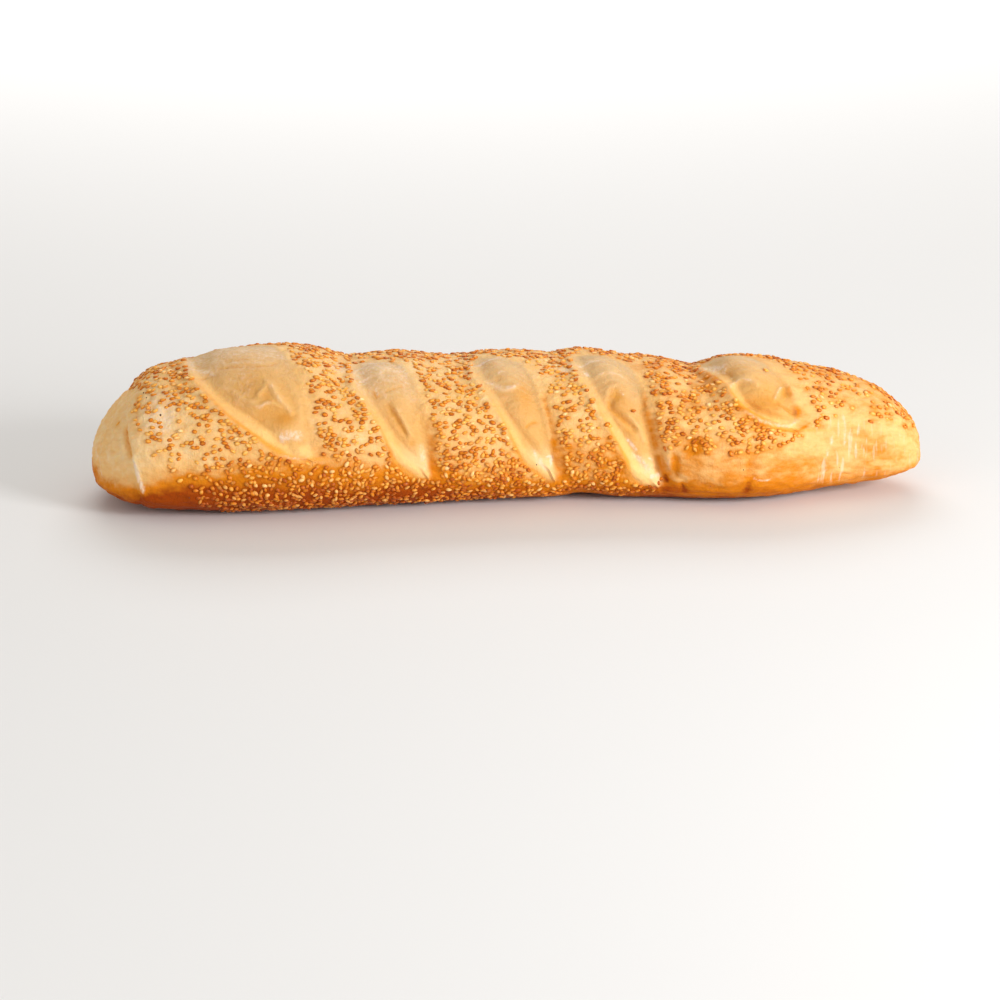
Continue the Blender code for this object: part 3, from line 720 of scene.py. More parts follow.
# The pale lines of the stretched skin.
LINES_SCALE = (1.0, 0.16, 0.16)
LINES_TURN = (0, 0.10, 0)
LINES_PER_METRE = 400.0
LINES_RANGE = (0.55, 0.68)
LUMP_SCALE = (0.55, 1.0, 1.0)

# Colours of the seeds and the flecks as they bake.
TOASTED = {"Pale": (0.95, 0.64, 0.26), "Gold": (0.88, 0.43, 0.07), "Brown": (0.70, 0.21, 0.005),
           "Dark": (0.42, 0.08, 0.001)}
BARELY_TOASTED = {"Pale": (0.97, 0.76, 0.44), "Gold": (0.93, 0.58, 0.22), "Brown": (0.80, 0.34, 0.06),
                  "Dark": (0.50, 0.15, 0.01)}
BURNT = {"Pale": (0.30, 0.12, 0.03), "Gold": (0.20, 0.07, 0.02), "Brown": (0.10, 0.03, 0.01),
         "Dark": (0.03, 0.012, 0.006)}
BURNT_BAKE = 0.80
BURNT_ROUGHNESS = 0.55

# The shapes of seed: how many, their facets, how pointed and how bent the first is and each next one.
SEED_KINDS = 4
SEED_FACETS = (8, 4)
SEED_POINT = (0.22, 0.09)
FLAT_POINT_SHARE = 0.5
SEED_BEND = 0.05
MIDDLE_KIND = 1.5
BEND_BALANCE = 0.1
# The numbers of the random draws.
DRAWS = {"pale": 11, "turn": 12, "kind": 13, "size": 14, "tone": 15, "sink": 16}
DISORDER_TURN = 2.0
# The width and the height of a fleck for its length.
FLECK_WIDTH = 0.7
FLECK_HEIGHT = 0.45

# The stage: the floor, each light's place, size and aim, the light from all sides and the camera.
FLOOR_SIZE = 6.0
FLOOR_ROUGHNESS = 0.7
FLOOR_SHADE = 0.985
LIGHTS = {
    "key": ((1.20, -0.95, 0.56), 0.50, (0.0, 0.0, 0.04)),
    "fill": ((-0.90, -1.00, 0.45), 0.90, (0.0, 0.0, 0.04)),
    "backdrop": ((0.0, 2.60, 1.80), 2.20, (0.0, 2.60, 0.0)),
}
SKY_COLOUR = (1.0, 0.95, 0.86)
CAMERA_LENS = 106.92
CAMERA_SENSOR = 36.0
CAMERA_PLACE = (-0.073447, -1.707574, 0.580270)
CAMERA_PITCH = 71
CAMERA_YAW = -2.3


def curve(places, values, at):
    """A smooth curve through the given values, read at one place or at many."""
    places, values = np.asarray(places, float), np.asarray(values, float)
    slopes = np.gradient(values, places)
    i = np.clip(np.searchsorted(places, at) - 1, 0, len(places) - 2)
    step = places[i + 1] - places[i]
    t = np.clip((at - places[i]) / step, 0.0, 1.0)
    start = (2 * t**3 - 3 * t**2 + 1) * values[i] + (t**3 - 2 * t**2 + t) * step * slopes[i]
    finish = (3 * t**2 - 2 * t**3) * values[i + 1] + (t**3 - t**2) * step * slopes[i + 1]
    return start + finish


def ramp(value, low, high):
    """Rises smoothly from 0 at low to 1 at high."""
    t = np.clip((value - low) / (high - low), 0.0, 1.0)
    return t * t * (3 - 2 * t)


def hill(distance, reach):
    return np.exp(-((distance / reach) ** 2))


def front_angle(angle):
    """The same angle, counted on from the first one."""
    return (np.asarray(angle, float) - FIRST_ANGLE) % 360 + FIRST_ANGLE


def rounding(x, bluntness):
    left, right = bluntness
    share = np.abs(x) / (LENGTH / 2)
    return np.sqrt(np.clip(1 - share ** np.where(x < 0, left, right), 0.0, 1.0))


def envelope(x, angle):
    """The loaf without slashes: a rounded section that narrows and sinks towards both ends."""
    table = np.array(SECTIONS)
    half_width, crest, middle, shift = (curve(table[:, 0], table[:, k], x) for k in range(1, 5))
    for place, rise, reach in CREST_WAVES:
        crest = crest + rise * hill(x - place, reach)
    across, upward = np.cos(np.radians(angle)), np.sin(np.radians(angle))
    above = upward >= 0
    power = np.where(above, UPPER_ROUNDNESS, LOWER_ROUNDNESS)
    reach = (np.abs(across) ** power + np.abs(upward) ** power) ** (-1 / power)
    low = ramp(-upward, *UNDER_BLEND)
    plan = rounding(x, PLAN_BLUNTNESS) * (1 - low) + rounding(x, UNDER_BLUNTNESS) * low
    lifted = LIFTED_HEM["rise"] * hill(x - LIFTED_HEM["x"], LIFTED_HEM["long"]) * (across > 0)
    height_above = (crest - middle) * rounding(x, TOP_BLUNTNESS)
    height_below = (middle + FLAT_SINK - lifted) * rounding(x, UNDER_BLUNTNESS)
    height = np.where(above, height_above, height_below)
    y = shift - half_width * plan * reach * across
    z = middle + height * reach * upward
    return np.stack([x + 0 * y, y, z], -1)


def outward(x, angle):
    """The unit normal of the envelope."""
    step_x, step_angle = 0.0005, 0.5
    inner = np.clip(x, -LENGTH / 2 + 2 * step_x, LENGTH / 2 - 2 * step_x)
    along = envelope(inner + step_x, angle) - envelope(inner - step_x, angle)
    around = envelope(inner, angle + step_angle) - envelope(inner, angle - step_angle)
    normal = np.cross(along, around)
    return normal / np.linalg.norm(normal, axis=-1, keepdims=True)


def slash_edges(slash, angle):
    """Where the lip and the foot of a slash lie at an angle."""
    lip_angles, lip_places = zip(*slash["lip"])
    foot_angles, foot_places = zip(*slash["foot"])
    inside = np.clip(angle, lip_angles[0], lip_angles[-1])
    return curve(lip_angles, lip_places, inside), curve(foot_angles, foot_places, inside)


def slash_distances(slash, x, angle):
    """Distances over the crust from the lip, the foot, the tip and the top, positive inside."""
    turn = 1.0
    lip, foot = slash_edges(slash, angle)
    next_lip, next_foot = slash_edges(slash, angle + turn)
    last_lip, last_foot = slash_edges(slash, angle - turn)
    arc = 2 * math.radians(turn) * GIRTH_RADIUS
    from_lip = (x - lip) / np.hypot(1, (next_lip - last_lip) / arc)
    from_foot = (foot - x) / np.hypot(1, (next_foot - last_foot) / arc)
    from_tip = np.radians(angle - slash["lip"][0][0]) * GIRTH_RADIUS
    from_top = np.radians(slash["lip"][-1][0] - angle) * GIRTH_RADIUS
    return from_lip, from_foot, from_tip, from_top


def slash_low(slash, from_tip):
    """1 in the low, deep part of a slash and 0 near the crest, where it is shallow."""
    length = np.radians(slash["lip"][-1][0] - slash["lip"][0][0]) * GIRTH_RADIUS
    return 1 - ramp(from_tip / length, *LOW_SHARES)


def slash_relief(slash, x, angle):
    """A steep bevel under the lip, a pillowed floor and a soft shoulder beyond the foot."""
    from_lip, from_foot, from_tip, from_top = slash_distances(slash, x, angle)
    low = slash_low(slash, from_tip)
    within = ramp(from_tip, *TIP_FADE) * ramp(from_top, *TOP_FADE)
    bevel = ramp(from_lip, 0, BEVEL)
    shoulder = ramp(from_foot, *SHOULDER)
    share = np.clip(from_lip / np.maximum(from_lip + from_foot, LEAST_WIDTH), 0, 1)
    depth_left = TOP_DEPTH_SHARE + (1 - TOP_DEPTH_SHARE) * low
    depth = slash["depth"] * (1 - (1 - slash["step"]) * share) * depth_left
    floor = bevel * shoulder * within * depth
    pillow = FLOOR_RISE * np.sin(np.pi * share) ** 2 * within
    lip = LIP_RISE * hill(from_lip + LIP_WIDTH / 2, LIP_WIDTH) * ramp(from_foot, *LIP_END) * within
    valley = VALLEY * hill(from_foot - VALLEY_PLACE, VALLEY_REACH) * ramp(from_tip, *VALLEY_START) * low
    return lip + pillow - floor - valley


def relief(x, angle):
    """How far the crust of the solid stands out from the envelope."""
    height = sum(slash_relief(slash, x, angle) for slash in SLASHES)
    crease_angles, crease_places = zip(*CREASE)
    from_crease = x - curve(crease_angles, crease_places, np.clip(angle, crease_angles[0], crease_angles[-1]))
    upper = ramp(angle, *CREASE_FRONT_FADE) * (1 - ramp(angle, *CREASE_BACK_FADE))
    step = ramp(from_crease, -CREASE_STEP_WIDTH, CREASE_STEP_WIDTH) - ramp(from_crease, *CREASE_SETTLING)
    height = height + upper * (CREASE_STEP * step - CREASE_DEPTH * hill(from_crease, CREASE_WIDTH))
    swell_arc = np.radians(angle - BACK_SWELL["angle"]) * GIRTH_RADIUS
    swell = hill(x - BACK_SWELL["x"], BACK_SWELL["long"]) * hill(swell_arc, BACK_SWELL["wide"])
    return height + BACK_SWELL["rise"] * swell


def path_felt(x, angle, path, reach):
    """1 on a path of (x, angle), dying away to both sides and towards its ends."""
    knots = np.arange(len(path))
    steps = np.linspace(0, len(path) - 1, PATH_STEPS * (len(path) - 1) + 1)
    across = curve(knots, [place[0] for place in path], steps)
    up = curve(knots, [math.radians(place[1]) * GIRTH_RADIUS for place in path], steps)
    arc = np.radians(angle) * GIRTH_RADIUS
    widest = FELT_REACHES * max(reach)
    near = (x > across.min() - widest) & (x < across.max() + widest)
    near &= (arc > up.min() - widest) & (arc < up.max() + widest)
    way_x, way_up = np.diff(across), np.diff(up)
    from_x, from_up = x[near][:, None] - across[:-1], arc[near][:, None] - up[:-1]
    share = (from_x * way_x + from_up * way_up) / (way_x**2 + way_up**2)
    share = np.clip(share, 0, 1)
    distance = np.hypot(from_x - share * way_x, from_up - share * way_up)
    nearest = distance.argmin(1)
    rows = np.arange(len(nearest))
    left_hand = (way_x * from_up - way_up * from_x)[rows, nearest] > 0
    width = np.where(left_hand, reach[0], reach[1])
    travelled = (nearest + share[rows, nearest]) / len(way_x)
    fade = ramp(travelled, 0, WRINKLE_ENDS) * ramp(1 - travelled, 0, WRINKLE_ENDS)
    felt = np.zeros_like(x)
    felt[near] = hill(distance[rows, nearest], width) * fade
    return felt


def spots(rows, x, arc):
    """Soft spots on the crust, one for each row of x, angle, strength, reach along and reach round."""
    for place, turn, strength, along, around in rows:
        yield strength * hill(x - place, along) * hill(arc - math.radians(turn) * GIRTH_RADIUS, around)


def fine_relief(x, angle):
    """The swells, folds and wrinkles that the solid leaves out."""
    arc = np.radians(angle) * GIRTH_RADIUS
    height = np.zeros_like(x)
    for swell in spots(SWELLS, x, arc):
        height += swell
    for rise, left_reach, right_reach, path in WRINKLES:
        height += rise * path_felt(x, angle, path, (left_reach, right_reach))
    return height


def crust_points(x, angle, fine):
    """Points of the finished crust, cut flat where the loaf lies on its underside."""
    height = (relief(x, angle) + fine) * ramp(LENGTH / 2 - np.abs(x), *END_FADE)
    point = envelope(x, angle) + outward(x, angle) * height[..., None]
    point[..., 2] = np.maximum(point[..., 2], 0.0)
    return point


def guide_lines(angle):
    """The lips and feet in order along the loaf, led round the back, between the two ends."""
    angle = front_angle(angle)
    lines = [np.full_like(angle, -LENGTH / 2)]
    for slash in SLASHES:
        tip, top = slash["lip"][0][0], slash["lip"][-1][0]
        lip, foot = slash_edges(slash, angle)
        short = np.maximum(LEAST_SLASH_GAP - (foot - lip), 0) / 2
        lip, foot = lip - short, foot + short
        outside = np.maximum(ramp(angle, top, BACK_ANGLES[1]), ramp(-angle, -tip, -BACK_ANGLES[0]))
        lines.append(lip * (1 - outside) + (middle_of(slash["lip"]) - BACK_SPREAD) * outside)
        lines.append(foot * (1 - outside) + (middle_of(slash["foot"]) + BACK_SPREAD) * outside)
    lines.append(np.full_like(angle, LENGTH / 2))
    return lines


def middle_of(edge):
    """The x halfway between both ends of a lip or foot."""
    return (edge[0][1] + edge[-1][1]) / 2


def crowded_tip(share):
    return share + TIP_CROWDING * share * (1 - share)


def ring_shares():
    """Every ring between the ends: the guide line that it follows and its share of the way on."""
    last = len(RINGS) - 1
    rings = []
    for zone, count in enumerate(RINGS):
        for step in range(zone == 0, count):
            share = step / count
            if zone == 0:
                share = 1 - crowded_tip(1 - share)
            elif zone == last:
                share = crowded_tip(share)
            rings.append((zone, share))
    return rings


def crowded(turn):
    """Angles that lie closer together over the front and the crest."""
    return turn - math.degrees(FRONT_CROWDING) * np.sin(np.radians(turn - CROWDED_ANGLE))


def loaf_grid():
    """A sphere drawn out along X with each ring laid along the crust, and the place of each vertex."""
    rings = ring_shares()
    last = len(rings) + 1
    shaped = bmesh.new()
    bmesh.ops.create_uvsphere(shaped, u_segments=RING_POINTS, v_segments=last, radius=1.0)
    mesh = mesh_from(shaped, "crust")
    ball = vertex_places(mesh)
    numbers = np.rint(np.degrees(np.arccos(np.clip(-ball[:, 2], -1, 1))) * last / 180).astype(int)
    angle = front_angle(crowded(np.degrees(np.arctan2(ball[:, 1], ball[:, 0]))))
    x = np.copysign(LENGTH / 2, ball[:, 2])
    lines = np.array(guide_lines(angle))
    zones = np.array([0] + [zone for zone, _ in rings] + [0])[numbers]
    shares = np.array([0.0] + [share for _, share in rings] + [0.0])[numbers]
    everyone = np.arange(len(x))
    between = (numbers > 0) & (numbers < last)
    along = lines[zones, everyone] * (1 - shares) + lines[zones + 1, everyone] * shares
    x[between] = along[between]
    return mesh, x, angle


def paint(mesh, name, values):
    """Stores one number for each vertex, which the nodes read by its name."""
    mesh.attributes.new(name, "FLOAT", "POINT").data.foreach_set("value", np.asarray(values, np.float32))


def mesh_from(shaped, name):
    """A mesh made of finished bmesh work."""
    mesh = bpy.data.meshes.new(name)
    shaped.to_mesh(mesh)
    shaped.free()
    return mesh


def vertex_places(mesh):
    places = np.empty(len(mesh.vertices) * 3)
    mesh.vertices.foreach_get("co", places)
    return places.reshape(-1, 3)


def settled(mesh):
    """The same mesh with its faces in one fixed order, so that every run draws the same seeds."""
    faces = []
    for polygon in mesh.polygons:
        corners = list(polygon.vertices)
        first = corners.index(min(corners))
        faces.append(corners[first:] + corners[:first])
    name = mesh.name
    places = vertex_places(mesh)
    bpy.data.meshes.remove(mesh)
    fixed = bpy.data.meshes.new(name)
    fixed.from_pydata(places.tolist(), [], sorted(faces))
    return fixed


def nearness(points, places, reach):
    """1 at the nearest of the given places, dying away over the reach."""
    tree = KDTree(len(places))
    for number, place in enumerate(places):
        tree.insert(place, number)
    tree.balance()
    return hill(np.array([tree.find(point)[2] for point in points]), reach)


def waver(x, arc, size):
    """An uneven value between about -1 and 1 that changes over the given size."""
    u, v = 2 * np.pi * x / size, 2 * np.pi * arc / size
    return sum(np.sin(along * u + around * v + start) for along, around, start in WAVES) / WAVES_SPAN


def zones_at(x, angle, z):
    """How far each vertex lies inside each zone, from 0 to 1."""
    measures = {"x": x, "-x": -x, "angle": angle, "-angle": -angle, "z": z, "-z": -z}
    return {name: ramp(measures[measure], start, full) for name, (measure, start, full) in ZONES.items()}


def sum_of(terms, zones):
    """The amounts of the terms added up, each kept to where all of its zones overlap."""
    total = 0.0
    for amount, names in terms:
        for name in names.split():
            outside = name.startswith("no_")
            amount = amount * (1 - zones[name[3:]] if outside else zones[name])
        total = total + amount
    return total


def slash_masks(x, angle, zones):
    """Where the crust was opened, how near the crest that is, and the lips and feet of the slashes."""
    names = ("opened", "high", "tip", "lip_line", "foot_shade", "bevel", "dust", "arcs")
    masks = {name: np.zeros_like(x) for name in names}
    masks["clear"] = np.ones_like(x)
    for slash in SLASHES:
        from_lip, from_foot, from_tip, from_top = slash_distances(slash, x, angle)
        low = slash_low(slash, from_tip)
        begun = ramp(from_tip, *OPEN_AT_TIP)
        spread_left = 1 - ramp(from_tip, SPREAD_START, slash["spread end"])
        from_lip = from_lip + slash["spread"] * begun * spread_left
        length, width = from_tip + from_top, from_lip + from_foot
        share = np.clip(from_lip / np.maximum(width, LEAST_WIDTH), 0, 1)
        from_top = from_top - TOP_ARCH * (2 * share - 1) ** 2
        within = begun * ramp(from_top, *OPEN_AT_TOP)
        inside = ramp(from_lip, *OPEN_AT_LIP) * ramp(from_foot, *OPEN_AT_FOOT) * within
        upper = ramp(from_tip, UPPER_SHARES[0] * length, UPPER_SHARES[1] * length)
        lower = 1 - ramp(from_tip, LOWER_SHARES[0] * length, LOWER_SHARES[1] * length)
        near_tip = 1 - ramp(from_tip, 0.0, TIP_REACH)
        strip = slash["strip"] * (1 + near_tip)
        strip_left = 1 - ramp(from_lip, STRIP_SHARES[0] * strip, STRIP_SHARES[1] * strip)
        # The line along the lip is browned, and low in the slash it is also painted shadow under the raised
        # lip.
        lip_place = LIP_LINE_PLACES[0] + LIP_LINE_PLACES[1] * near_tip
        lip_width = LIP_LINE_WIDTHS[0] + LIP_LINE_WIDTHS[1] * near_tip
        lip_tone = LIP_LINE_TONES[0] + LIP_LINE_TONES[1] * lower
        # Painted shade, with some browning, in a band at the foot, where the crust faces away from the light.
        beyond = hill(from_foot + FOOT_BAND_PLACE, np.where(from_foot < 0, *FOOT_BAND_REACH))
        found = {
            "opened": inside,
            "tip": slash["pale tip"] * inside * (1 - ramp(from_tip, *PALE_TIP)),
            "dust": slash["dust"] * inside * upper * (1 - DUST_LOSS * zones["dust_loss"]),
            "bevel": inside * strip_left * (STRIP_TONES[0] + STRIP_TONES[1] * lower),
            "lip_line": hill(from_lip - lip_place, lip_width) * lip_tone * within,
            "foot_shade": slash["foot shade"] * beyond * within * low,
        }
        for name, value in found.items():
            masks[name] = np.maximum(masks[name], value)
        bent = from_tip - ARC_BEND * width * share * (1 - share)
        for name, value in (("high", upper), ("arcs", bent)):
            masks[name] = np.where(inside > LEAST_OPENED, value, masks[name])
        across = np.minimum(from_lip + BARE_LIP, from_foot + slash["bare"])
        along = np.minimum(from_tip, from_top) + BARE_ENDS
        bare = ramp(np.minimum(across, along), -BARE_EDGE, BARE_EDGE)
        masks["clear"] = np.minimum(masks["clear"], 1 - bare)
    return masks


def seed_cover(x, angle, zones, clear):
    """How thickly the seeds lie, as a share of the thickest."""
    arc = np.radians(angle) * GIRTH_RADIUS
    low_front = zones["seedy_front"] * zones["left_of_second"]
    cover = FRONT_SEEDS * (1 - LEFT_THINNING * zones["far_left"] * zones["before_crest"])
    cover = np.maximum(cover, LOW_SEEDS * low_front * zones["past_cap"])
    cover = np.maximum(cover, CREST_SEEDS * zones["seedy_crest"])
    turns, places = zip(*LEFT_LIMIT)
    left_limit = curve(turns, places, np.clip(angle, turns[0], turns[-1]))
    left_limit = left_limit + LEFT_WAVER * waver(x, arc, LEFT_WAVER_SIZE) * zones["past_crest"]
    left_full = LEFT_EDGE[1] + LEFT_EDGE_BEHIND * zones["thinning_back"]
    cover = cover * ramp(x - left_limit, LEFT_EDGE[0], left_full)
    right_limit = np.interp(x, *zip(*RIGHT_LIMIT))
    cover = cover * np.where(x > RIGHT_LIMIT_START, ramp(angle - right_limit, *RIGHT_EDGE), 1.0)
    gap = SEED_GAP["thinning"] * hill(x - SEED_GAP["x"], SEED_GAP["long"]) * zones["before_gap"]
    cover = cover * (1 - RIGHT_THINNING * zones["fifth_on"]) * (1 - gap)
    lowest = LOWEST_SEEDS - LOWER_ON_LEFT * zones["past_left_end"] * zones["left_of_middle"]
    cover = cover * ramp(angle - lowest, *LOWEST_EDGE) * zones["above_underside"]
    cover = cover * ramp(LENGTH / 2 - x, *SEEDLESS_END)
    strong, large = SEED_PATCHES
    strong_small, small = SMALL_SEED_PATCHES
    patches = 1 + strong * waver(x, arc, large) + strong_small * waver(x * PATCH_STRETCH, arc, small)
    cover = cover * clear * patches * zones["seeds_off_floor"]
    for place, turn in STRAY_SEEDS:
        distance = np.hypot(x - place, arc - math.radians(turn) * GIRTH_RADIUS)
        cover = np.maximum(cover, STRAY_STRENGTH * hill(distance, STRAY_REACH))
    return np.clip(cover, 0, 1)


def crust_masks(x, angle, z, fine):
    """The tones of the crust, with its painted shade and highlights, and the cover of seeds, by name."""
    arc = np.radians(angle) * GIRTH_RADIUS
    zones = zones_at(x, angle, z)
    uneven = waver(x, arc, UNEVEN_SIZE)
    lift = HEM_LIFT_LEFT * zones["left"] - HEM_DROP_CAP * zones["cap"]
    zones["hem"] = 1 - ramp(z + HEM_WAVER * uneven - lift, *HEM_HEIGHTS)
    zones["low"] = 1 - ramp(z + LOW_WAVER * uneven, *LOW_HEIGHTS)
    masks = slash_masks(x, angle, zones)
    patch = sum(spots(PATCHES, x, arc))
    # Browned patches and dark strokes, the strokes partly painted shade along creases and slash feet.
    scorch, dust = np.maximum(patch, 0), masks["dust"]
    for tone, width, path in STROKES:
        felt = tone * path_felt(x, angle, path, (width, width))
        scorch, dust = np.maximum(scorch, -felt), np.maximum(dust, felt)
    for spot in spots(DUST_SPOTS, x, arc):
        dust = np.maximum(dust, spot)
    # Painted shade in the hollows of the folds, darker where they are deeper.
    sunken = np.clip(-fine / HOLLOW_SHADE_DEPTH, 0, MOST_HOLLOW_SHADE)
    masks["bake"] = sum_of(BAKE_TERMS, zones) + UNEVEN_BAKE * uneven + PATCH_BAKE * patch
    masks["dust"] = dust
    masks["scorch"] = np.clip(scorch + sunken, 0, 1)
    # Raised folds are lightened as a painted highlight.
    masks["raised"] = np.clip(fine / RIDGE_HIGHLIGHT_HEIGHT, 0, 1)
    masks["stretched"] = np.maximum(sum_of(STRETCH_TERMS, zones), sum_of(CAP_STRETCH_TERMS, zones))
    masks["seed_cover"] = seed_cover(x, angle, zones, masks.pop("clear"))
    masks["pale_share"] = sum_of(PALE_SEED_TERMS, zones)
    masks["disorder"] = zones["disordered"]
    masks["lumpy"] = zones["off_floor"] * (1 - LUMPS_LOST_OPENED * masks["opened"])
    return masks


def put(tree, kind, inputs=None, **settings):
    """Adds a node with its settings, and gives its inputs values or links them to other nodes."""
    node = tree.nodes.new(kind)
    node.location = (220 * len(tree.nodes), 0)
    for name, value in settings.items():
        setattr(node, name, value)
    for socket, value in (inputs or {}).items():
        if isinstance(value, bpy.types.NodeSocket):
            tree.links.new(value, node.inputs[socket])
        else:
            node.inputs[socket].default_value = value
    return node


def sockets(tree, inputs, outputs):
    """Gives a node tree its inputs and outputs, as name and kind, and returns its two ends."""
    for in_out, ends in (("INPUT", inputs), ("OUTPUT", outputs)):
        for name, kind in ends.items():
            tree.interface.new_socket(name=name, in_out=in_out, socket_type=f"NodeSocket{kind}")
    return put(tree, "NodeGroupInput").outputs, tree.nodes.new("NodeGroupOutput").inputs


def math_node(tree, operation, first, second=0.0, third=0.0, clamp=False):
    node = put(tree, "ShaderNodeMath", {0: first, 1: second, 2: third}, operation=operation, use_clamp=clamp)
    return node.outputs[0]


def mix_colours(tree, share, first, second, blend="MIX"):
    node = put(tree, "ShaderNodeMix", {0: share, 6: first, 7: second}, data_type="RGBA", blend_type=blend)
    return node.outputs[2]


def stretched(tree, low, high, value):
    """A value that rises smoothly from 0 at low to 1 at high."""
    node = put(tree, "ShaderNodeMapRange", {0: value, 1: low, 2: high}, interpolation_type="SMOOTHSTEP")
    return node.outputs[0]


def attribute(tree, name):
    return put(tree, "ShaderNodeAttribute", attribute_name=name).outputs["Fac"]


def mottle_group():
    """Uneven patches: a value that swings about 0 over a size, the same way in all materials."""
    if "Mottle" in bpy.data.node_groups:
        return bpy.data.node_groups["Mottle"]
    tree = bpy.data.node_groups.new("Mottle", "ShaderNodeTree")
    given, result = sockets(tree, {"Place": "Vector", "Size": "Float", "Amount": "Float"}, {"Value": "Float"})
    scale = math_node(tree, "DIVIDE", 1.0, given["Size"])
    noise = put(tree, "ShaderNodeTexNoise",
                {"Vector": given["Place"], "Scale": scale, "Detail": 3.0, "Roughness": 0.55})
    centred = math_node(tree, "SUBTRACT", noise.outputs["Fac"], 0.5)
    doubled = math_node(tree, "MULTIPLY", centred, 2.0)
    tree.links.new(math_node(tree, "MULTIPLY", doubled, given["Amount"]), result["Value"])
    return tree


def baked_group():
    """The tone of baked dough, from pale through gold and brown to dark."""
    if "Baked Tone" in bpy.data.node_groups:
        return bpy.data.node_groups["Baked Tone"]
    tree = bpy.data.node_groups.new("Baked Tone", "ShaderNodeTree")
    given, result = sockets(
        tree, {"Bake": "Float", "Pale": "Color", "Gold": "Color", "Brown": "Color", "Dark": "Color"},
        {"Color": "Color"})
    colour = given["Pale"]
    for (start, full), deeper in ((TO_GOLD, "Gold"), (TO_BROWN, "Brown"), (TO_DARK, "Dark")):
        colour = mix_colours(tree, stretched(tree, start, full, given["Bake"]), colour, given[deeper])
    tree.links.new(colour, result["Color"])
    return tree


def mottle(tree, place, finish):
    """The mottling of a finish, by its name."""
    size, amount = MOTTLES[finish]
    given = {"Place": place, "Size": size, "Amount": amount}
    return put(tree, "ShaderNodeGroup", given, node_tree=mottle_group()).outputs[0]


def baked(tree, bake, colours):
    """The colour of dough at a bake, between a finish's own pale, gold, brown and dark."""
    tones = {name: opaque(colour) for name, colour in colours.items()}
    return put(tree, "ShaderNodeGroup", {"Bake": bake, **tones}, node_tree=baked_group()).outputs[0]


def opaque(colour):
    return (*colour, 1.0)


def darkened(tree, bake, darkeners):
    """A bake with each named mask added by its strength."""
    for mask, strength in darkeners.items():
        bake = math_node(tree, "MULTIPLY_ADD", attribute(tree, mask), strength, bake)
    return bake


def tinted(tree, colour, mask, cover, tint):
    """A colour with a tint laid over it where a mask says, up to a cover."""
    return mix_colours(tree, math_node(tree, "MULTIPLY", mask, cover), colour, opaque(tint))


def start_material(name, **constants):
    """A new material with plain values on its shader's own sockets, and the object's coordinates."""
    material = bpy.data.materials.new(name)
    material.use_nodes = True
    tree = material.node_tree
    shader = tree.nodes["Principled BSDF"]
    for socket, value in constants.items():
        shader.inputs[socket.replace("_", " ")].default_value = value
    return material, tree, shader, put(tree, "ShaderNodeTexCoord").outputs["Object"]


def opened_colour(tree, place, look):
    """The colour inside a slash, from its tip to the crest, with its strip and arcs, painted shade with
    some browning in its hollows and at its foot, and a painted highlight on its raised folds.
    """
    high, raised = attribute(tree, "high"), attribute(tree, "raised")
    colour = mix_colours(tree, attribute(tree, "tip"), opaque(look.opened), opaque(look.opened_low))
    colour = mix_colours(tree, high, colour, opaque(look.opened_top))
    colour = tinted(tree, colour, attribute(tree, "bevel"), BEVEL_COVER, look.bevel)
    along = put(tree, "ShaderNodeSeparateXYZ", {0: place}).outputs[0]
    shortened = math_node(tree, "MULTIPLY", along, ARC_STRETCH)
    curved = put(tree, "ShaderNodeCombineXYZ", {0: shortened, 1: attribute(tree, "arcs")}).outputs[0]
    strength = math_node(tree, "MULTIPLY_ADD", high, *ARC_STRENGTHS)
    striped = math_node(tree, "MULTIPLY", mottle(tree, curved, "stripes"), strength)
    # Browning with painted shade in the hollows, and the painted shade of the foot band.
    shaded = darkened(tree, attribute(tree, "scorch"), {"foot_shade": FOOT_SHADE_IN_SLASH})
    uneven = math_node(tree, "ADD", striped, mottle(tree, place, "clouds"))
    scorched_and_shaded = math_node(tree, "ADD", shaded, uneven, clamp=True)
    colour = tinted(tree, colour, scorched_and_shaded, SCORCH_AND_SHADE_COVER, look.scorched_and_shaded)
    # A painted highlight on the raised folds.
    return tinted(tree, colour, raised, RIDGE_HIGHLIGHT_COVER, look.opened_low)


